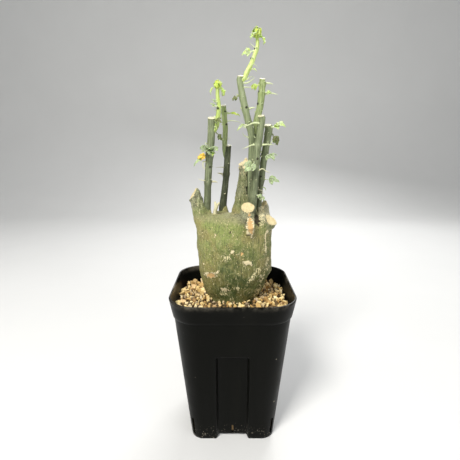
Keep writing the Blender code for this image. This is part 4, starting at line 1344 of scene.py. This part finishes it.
# %% Leaf finish
leaf_skin = Finish("young leaf", 0.46)
LEAF_SCALE = [(0.0, (0.12, 0.13, 0.02)), (0.25, (0.21, 0.27, 0.14)), (0.48, (0.33, 0.42, 0.21)),
              (0.62, (0.52, 0.62, 0.31)), (0.74, (0.42, 0.58, 0.035)), (0.88, (0.62, 0.74, 0.10)),
              (0.95, (0.62, 0.74, 0.10)), (1.0, (0.93, 0.62, 0.09))]
mottle = leaf_skin.noise(420.0, detail=4.0, rough=0.65)
shade = leaf_skin.plus(leaf_skin.attribute("tone"), leaf_skin.span(mottle, 0.3, 0.7, -0.13, 0.13))
leaf_skin.skin = leaf_skin.ramp(shade, LEAF_SCALE)
beside = leaf_skin.math("ABSOLUTE", leaf_skin.attribute("across"))
slant = leaf_skin.math("SUBTRACT", leaf_skin.times(leaf_skin.attribute("along"), 6.0),
                       leaf_skin.times(beside, 1.2))
vein = leaf_skin.span(leaf_skin.math("PINGPONG", slant, 0.5), 0.09, 0.02)
midrib = leaf_skin.span(beside, 0.16, 0.05)
margin = leaf_skin.span(beside, 0.80, 0.98, 0.0, 0.75)
veins = leaf_skin.most(midrib, leaf_skin.times(vein, 0.7))
waxy = leaf_skin.times(leaf_skin.span(shade, 0.05, 0.30, 0.15, 0.65),
                       leaf_skin.span(shade, 0.95, 0.72, 0.25, 1.0))
leaf_skin.layer(leaf_skin.times(leaf_skin.most(veins, margin), waxy), (0.64, 0.70, 0.46))
leaf_skin.end((veins, -0.00015), (mottle, 0.00015))
leaf_skin.let_light_in(0.25, (0.0006, 0.0010, 0.0003))
print("leaf scale from", LEAF_SCALE[0][1], "to", LEAF_SCALE[-1][1])

# %% [markdown]
# Each packed leaf gives two facts: the joint it grows from and where it ends. The habits below say
# the rest: how many lobes fan out from the stalk and how widely, how much the leaf droops, rolls to
# the front, folds and curls, and its tone.

# %% Leaves
FRONT = Vector((0.0, -1.0, 0.35))
HABITS = {   # lobes, spread and droop in degrees, roll to the front, size, fold, curl, tone
    "leaf_left_green": (3, 50, -5, 0.8, 1.00, 0.25, 0.3, 0.38),
    "leaf_left_yellow": (1, 0, 5, 0.7, 1.15, 0.35, 0.3, 0.46),
    "leaf_left_dark": (3, 45, 30, 0.7, 1.00, 0.40, 0.8, 0.05),
    "leaf_middle": (1, 0, -10, 0.6, 1.05, 0.60, 0.1, 0.76),
    "leaf_tall_left": (3, 40, 15, 0.7, 1.00, 0.40, 0.8, 0.04),
    "leaf_tall_blade": (1, 0, 5, 0.5, 1.10, 0.35, 0.2, 0.60),
    "leaf_front": (5, 58, 8, 0.75, 0.84, 0.35, 0.5, 0.47),
    "leaf_forked_curl": (3, 46, 25, 0.7, 0.92, 0.50, 1.2, 0.74),
    "leaf_right_top": (3, 30, -14, 0.6, 1.15, 0.55, 0.5, 0.60),
    "leaf_right_dark": (3, 22, 12, 0.8, 1.30, 0.40, 0.2, 0.02),
    "leaf_right_middle": (3, 50, -4, 0.8, 1.30, 0.35, 0.3, 0.36),
    "leaf_right_low": (3, 40, -10, 0.5, 1.10, 0.35, 0.5, 0.36),
    "leaf_bead": (3, 50, 20, 0.7, 1.00, 0.60, 1.6, 0.52),
    "leaf_shoot_tall": (3, 44, 10, 0.8, 1.35, 0.30, 0.3, 0.60),
}


def fan(leaf, start, reach, face, lobes, spread, fold, curl, teeth=3):
    """Fans lobes out from the top of a stalk, the middle one longest."""
    for i in range(lobes):
        share = (i - (lobes - 1) / 2) / max((lobes - 1) / 2, 1)
        turn = Matrix.Rotation(math.radians(spread) * share * (1.0 if lobes < 5 else 1.6), 3, face)
        way = (turn @ reach) * (1 - (0.26 if lobes < 5 else 0.40) * abs(share))
        broad = way.length * (0.30 if lobes == 1 else 0.66 if lobes == 3 else 0.80)
        leaf.lobe(start, start + way, face, broad, 0.12 + 0.05 * abs(share), fold, teeth, curl)


for node, (lobes, spread, droop, roll, size, fold, curl, tone) in HABITS.items():
    middle, foot, tip = feet[node]
    ahead = (tip - foot) * size
    across = ahead.cross(UP).normalized()
    ahead = Matrix.Rotation(-math.radians(droop), 3, across) @ ahead
    face = (UP * (1 - roll) + FRONT * roll).normalized()
    face = (face - ahead * (face.dot(ahead) / ahead.length_squared)).normalized()
    start = foot + ahead * (0.24 if lobes > 1 else 0.08)
    leaf = Foliage()
    leaf.tone = tone
    leaf.stalk(middle.lerp(foot, 0.7), start + ahead * 0.03, 0.42 * MM)
    if node == "leaf_left_yellow":
        leaf.tone = 1.1
        fan(leaf, start + FRONT * 1.2 * MM, ahead * 0.45 + UP * 2.4 * MM, face, 5, 55, 0.5, 1.2)
        leaf.tone = tone
    fan(leaf, start, ahead * 0.76, face, lobes, spread, fold, curl)
    made = leaf.make(node + "_blade", leaf_skin)
    finish_piece(made, leaf_skin, "leaf", node)

# %% [markdown]
# Some joints carry a few small leaves more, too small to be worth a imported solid: the rest of the
# cluster on the left stem, and the first leaves on the shoots. Each is given by its stem, its
# height over the grit, which way it points, its length and its tone.


# %% Extra small leaves
def at(name, z):
    """The middle of a stem, and its girth, at a height."""
    line, radii = axes[name]
    i = int(np.abs(line[:, 2] - z).argmin())
    return Vector(line[i]), float(radii[min(max(i, 2), len(radii) - 3)])


SMALL_LEAVES = [   # stem, height, (right, back, up), length, lobes, tone
    ("stem_left", 109, (-0.65, -1.0, 0.55), 7.0, 5, 0.38),
    ("stem_left", 108, (0.00, -1.0, 0.45), 7.2, 5, 0.46),
    ("stem_left", 108, (0.60, -1.0, 0.30), 6.4, 5, 0.38),
    ("stem_left", 106, (0.30, -1.0, -0.10), 5.2, 3, 0.66),
    ("shoot_left", 138, (-1.0, -0.6, 0.5), 4.0, 3, 0.55),
    ("shoot_left", 141, (-0.8, -0.8, 0.9), 3.2, 1, 0.60),
    ("stem_left", 129, (1.0, -0.9, -0.3), 5.6, 3, 0.03),
    ("shoot_tall", 157, (1.0, -0.5, 0.6), 3.4, 1, 0.62),
    ("shoot_tall", 163, (1.0, -0.5, -0.4), 3.8, 1, 0.66),
    ("shoot_forked", 149, (1.0, -0.6, -0.2), 3.8, 3, 0.62),
    ("stem_right", 104, (1.0, -0.7, 0.3), 3.8, 1, 0.60),
    ("stem_right", 83, (0.6, -1.0, -0.4), 4.0, 1, 0.42),
    ("stem_front", 78, (0.9, -0.8, 0.0), 3.6, 3, 0.50),
]
small = Foliage()
for name, above, way, length, lobes, tone in SMALL_LEAVES:
    middle, girth = at(name, GRIT_TOP + above * MM)
    way = Vector(way).normalized()
    level = Vector((way.x, way.y, 0)).normalized()
    foot = middle + level * girth * 0.8
    face = (UP * 0.35 + FRONT * 0.65 - way * 0.2).normalized()
    small.tone = tone
    small.stalk(foot, foot + (level * 1.6 + way * 0.6) * MM, 0.36 * MM)
    fan(small, foot + (level * 1.4 + way * 0.5) * MM, way * length * MM, face, lobes, 48, 0.3, 0.6)
finish_piece(small.make("small_leaves", leaf_skin), leaf_skin, "leaf")
print("made", len(HABITS), "leaves and", len(SMALL_LEAVES), "small ones")

# %% [markdown]
# A shoot ends in a fist of leaves that haven't opened. Each is a lobe laid over a ball, from
# under it to its top, overlapping the last one. Two or three opened leaves hang below it.


# %% Shoot tips
def leaf_fist(name, node, leaves, tone, swell, droopers):
    low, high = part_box(node)
    centre, size = (low + high) / 2, (high.z - low.z) / 2 * swell
    luck = random.Random(name)
    fist = Foliage()
    fist.tone = tone
    for i in range(leaves):
        turn = 2.4 * i + 0.4
        out = Vector((math.cos(turn), math.sin(turn), 0.0))
        foot = centre - UP * size * 0.9 + out * size * 0.15
        top = centre + UP * size * luck.uniform(0.45, 0.85) + out * size * luck.uniform(-0.1, 0.35)
        fist.tone = tone + luck.uniform(-0.06, 0.04)
        fist.lobe(foot, top, out, size * luck.uniform(1.1, 1.6), luck.uniform(0.45, 0.6), -0.25, 2,
                  0.4, 0.12)
    fist.tone = 0.67
    for x, y, drop, wide in droopers:
        out = Vector((x, y, 0.0)).normalized()
        foot = centre - UP * size * 0.5
        tip = centre + Vector((x, y, -drop)) * MM
        fist.stalk(foot, foot.lerp(tip, 0.3) + UP * 0.6 * MM, 0.35 * MM, -0.1)
        fist.lobe(foot.lerp(tip, 0.25) + UP * 0.6 * MM, tip, (out + UP * 0.6).normalized(),
                  wide * MM, 0.25, 0.45, 3, 0.5)
    made = fist.make(name, leaf_skin, 0.25 * MM)
    return finish_piece(made, leaf_skin, "leaf", node)


leaf_fist("tip_left_leaves", "tip_left", 9, 0.76, 1.8,
          [(-5.6, -2.5, 6.8, 4.4), (3.8, -3.0, 8.0, 6.0)])
leaf_fist("tip_tall_leaves", "tip_tall", 7, 0.76, 1.6,
          [(-4.2, -2.5, 4.8, 5.6), (5.4, -3.0, 7.6, 5.0), (-2.5, -4.5, 2.5, 4.0)])
print("made 2 tips")

# %% [markdown]
# Dry, hard things are left at the joints: straight spines, curved tendrils that found nothing to
# hold, and papery bracts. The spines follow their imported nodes. They are swept by the same tree,
# with few sides and no ribs.

# %% Spine finish
spine_skin = Finish("dry spine", 0.62)
dry = spine_skin.noise(1.0, spine_skin.stretched((900.0, 900.0, 500.0)), detail=4.0)
blush = spine_skin.noise(260.0, detail=2.0)
young = spine_skin.mix(dry, (0.50, 0.58, 0.28), (0.78, 0.83, 0.55))
spine_skin.skin = spine_skin.mix(dry, (0.50, 0.47, 0.26), (0.80, 0.76, 0.54))
spine_skin.over(blush, 0.54, 0.72, (0.42, 0.24, 0.14), 0.5)
spine_skin.over(spine_skin.axis(2), GRIT_TOP + 84 * MM, GRIT_TOP + 118 * MM, young)
spine_skin.end((dry, 0.0002), (spine_skin.noise(2500.0), 0.00006))
print("spine finish:", len(spine_skin.tree.nodes), "nodes")


# %% Spines and tendrils
def bent(points, count=18):
    """A smooth line through a few points, as a list of places."""
    points = [Vector(p) for p in points]
    padded = [points[0] * 2 - points[1], *points, points[-1] * 2 - points[-2]]
    line = []
    steps = count // (len(points) - 1)
    for i in range(1, len(padded) - 2):
        a, b, c, d = padded[i - 1:i + 3]
        for k in range(steps):
            t = k / steps
            line.append(0.5 * ((2 * b) + (c - a) * t + (2 * a - 5 * b + 4 * c - d) * t * t
                               + (3 * b - a - 3 * c + d) * t * t * t))
    return [*line, points[-1]]


def tapered(points, thick, thin=0.12, mark=0.0):
    line = bent(points)
    last = len(line) - 1
    return [(p, thick / 2 * (1 - (1 - thin) * (i / last) ** 1.2), mark)
            for i, p in enumerate(line)]


for node in [n for n in GROWTHS if n.startswith("spine_")]:
    middle, foot, tip = feet[node]
    sag = (foot + tip) / 2 + UP * 0.35 * MM
    made = strands(node + "_skin", [tapered([middle.lerp(foot, 0.6), sag, tip], 1.6 * MM)],
                   spine_skin, 8, 3.0, 0.05, 0.1 * MM)
    finish_piece(made, spine_skin, "spine", node)


def off(name, above, *steps):
    """A bent line that leaves a stem: each step is (right, back, up) in millimetres."""
    middle, _ = at(name, GRIT_TOP + above * MM)
    return [middle, *[middle + Vector(step) * MM for step in steps]]


TENDRILS = [   # stem, height, steps, thickness
    ("shoot_middle", 129, [(4, -1, 1.0), (9, -1.5, 0.4), (12, -1.5, -1.0)], 0.7),
    ("stem_front", 112, [(-4.5, -1.5, -0.2), (-8.5, -2.5, -1.8), (-11.5, -3, -3.0)], 0.9),
    ("stem_front", 93, [(4.5, -1.0, 3.0), (8, -1.5, 1.0), (10.5, -2, 0.6)], 0.9),
    ("stem_front", 127, [(-5, -2.5, 0.4), (-9.5, -3, -1.2), (-13, -3, -2.8)], 1.3),
    ("stem_right", 81, [(-4.0, -4.0, 3.2), (-1.5, -5.5, 0.4), (2.5, -6, -1.0)], 0.8),
    ("stem_right", 111, [(3.5, -2, 3.5), (4.6, -2.2, 6.0)], 0.9),
    ("stem_tall", 153, [(5.0, -1.5, 0.2), (8.5, -2.0, 2.2), (10, -2, 3.6)], 0.9),
    ("stem_tall", 151, [(5.0, -2.0, -0.4), (9.0, -2.5, -0.8)], 0.8),
    ("stem_tall", 118, [(-3.5, -1, 1.0), (-6, -1.5, 2.4), (-6.6, -1.8, 4.5)], 0.8),
    ("shoot_tall", 176, [(-3.5, -1, 2.5), (-5.5, -1.5, 4.5)], 0.5),
    ("shoot_tall", 164, [(3.0, -1.5, 2.2), (5.6, -2, 0.0)], 0.8),
    ("stem_left", 88, [(-3.5, -2.5, 0.4), (-7, -3, 1.6)], 0.8),
    ("stem_left", 99, [(-3.6, -2.5, 1.6), (-4.0, -3.0, -2.0), (-2.4, -3.2, -4.4)], 0.9),
    ("stem_middle", 96, [(-4, -2.0, 0.6), (-8.5, -3, 0.4)], 0.8),
    ("shoot_left", 141, [(-3.0, -1.5, 0.8), (-3.6, -1.6, -2.0)], 0.7),
    ("stem_forked", 118, [(-3.5, -2, 2.5), (-5.5, -3, 1.5), (-5.8, -3, -1.0)], 0.8),
]
tendrils = strands("tendrils", [tapered(off(name, above, *steps), thick * 1.35 * MM)
                                for name, above, steps, thick in TENDRILS],
                   spine_skin, 7, 2.0, 0.1, 0.15 * MM)
finish_piece(tendrils, spine_skin, "spine")

crown = Vector((-13.0 * MM, -2.0 * MM, GRIT_TOP + 62.0 * MM))
fork = crown + Vector((0.9, -0.8, 6.0)) * MM
dry_bud = strands("dry_forked_bud", [
    tapered([crown, crown + Vector((0.2, 0, 3)) * MM, fork], 3.0 * MM, 0.8),
    tapered([fork - UP * MM, fork + Vector((-0.3, 0, 2.0)) * MM,
             fork + Vector((-0.9, 0.2, 4.4)) * MM], 2.3 * MM, 0.6),
    tapered([fork - UP * MM, fork + Vector((1.0, 0, 1.6)) * MM,
             fork + Vector((2.5, 0.3, 3.8)) * MM], 2.2 * MM, 0.6)],
    spine_skin, 10, 3.0, 0.12, 0.5 * MM)
finish_piece(dry_bud, spine_skin, "spine")
print("swept", len(TENDRILS), "tendrils")

# %% [markdown]
# At every joint sit a pair of papery bracts, and at every second one a dormant bud. Another small
# tree plants them: it puts a copy of a bract, or of a bud, on each point of a list, turned to
# point away from the stem and sized at random. All the bracts then cost one bract's work.

# %% The planting tree
plant = Tree("plant on joints", {
    "Finish": ("Material", None), "Shape": ("Object", None), "Size": ("Float", 1.0),
    "Seed": ("Int", 3)})
spots = plant.call("GeometryNodeMeshToPoints", {"Mesh": plant.inputs["Geometry"]})
shape_in = plant.call("GeometryNodeObjectInfo", {"Object": plant.inputs["Shape"]}, "Geometry")
aim = plant.call("FunctionNodeAlignRotationToVector", {
    "Vector": plant.stored("away", "FLOAT_VECTOR")}, axis="X")
vary = plant.times(plant.random(0.7, 1.25, 5), plant.inputs["Size"])
plant.end(plant.call("GeometryNodeInstanceOnPoints", {
    "Points": spots, "Instance": shape_in, "Rotation": aim, "Scale": vary}))


def planted(name, spots, shape_object, finish, size=1.0):
    """Plants a shape on each (place, direction)."""
    mesh = bpy.data.meshes.new(name + " spots")
    mesh.from_pydata([tuple(p) for p, _ in spots], [], [])
    away = mesh.attributes.new("away", "FLOAT_VECTOR", "POINT")
    away.data.foreach_set("vector", [v for _, way in spots for v in way])
    source = placed(name + " spots", mesh)
    made = grow(name, source, plant, {"Finish": finish.material, "Shape": shape_object,
                                      "Size": size})
    made.data.shade_smooth()
    return made


# %% Bracts and buds
luck = random.Random(21)
bract_spots, bud_spots = [], []
for name, heights in joints.items():
    line, _ = axes[name]
    extra = [line[0][2] + (line[-1][2] - line[0][2]) * luck.uniform(a, a + 0.2)
             for a in (0.2, 0.45, 0.7)]
    for z in [*heights, *extra]:
        middle, girth = at(name, z)
        turn = luck.uniform(0, 2 * math.pi)
        for side in (0.0, 2.6):
            way = Vector((math.cos(turn + side), math.sin(turn + side), 0.55)).normalized()
            level = Vector((way.x, way.y, 0)).normalized()
            bract_spots.append((middle + level * girth * 0.85, way))
        level = Vector((math.cos(turn + 1.3), math.sin(turn + 1.3), 0.25))
        bud_spots.append((middle + level * girth * 0.98 + UP * 0.6 * MM, level))
bract_shape = Foliage()
bract_shape.lobe(Vector((0, 0, 0)), Vector((1.9, 0, 0.5)) * MM, UP, 1.0 * MM, 0.3, 0.5, 2, 1.2)
bract_shape = bract_shape.make("bract", spine_skin, 0.14 * MM)
bud_mesh = bpy.data.meshes.new("bud")
with editing(bud_mesh) as bud:
    bmesh.ops.create_icosphere(bud, subdivisions=2, radius=0.8 * MM)
    for v in bud.verts:
        v.co += v.co.normalized() * noise.noise(v.co * 2500) * 0.2 * MM
        v.co.x *= 0.8
bud_shape = placed("bud", bud_mesh)

bud_skin = Finish("dormant bud", 0.7)
bud_grain = bud_skin.noise(2200.0, detail=3.0)
bud_skin.skin = bud_skin.mix(bud_grain, (0.010, 0.012, 0.006), (0.045, 0.042, 0.02))
bud_skin.end((bud_grain, 0.0002))
bracts = planted("bracts", bract_spots, bract_shape, spine_skin)
finish_piece(bracts, spine_skin, "spine")
buds = planted("dormant_buds", bud_spots[::2], bud_shape, bud_skin)
finish_piece(buds, bud_skin, "spine")
for helper in (bract_shape, bud_shape):
    bpy.data.objects.remove(helper)
print("planted", len(bract_spots), "bracts and", len(bud_spots[::2]), "buds")
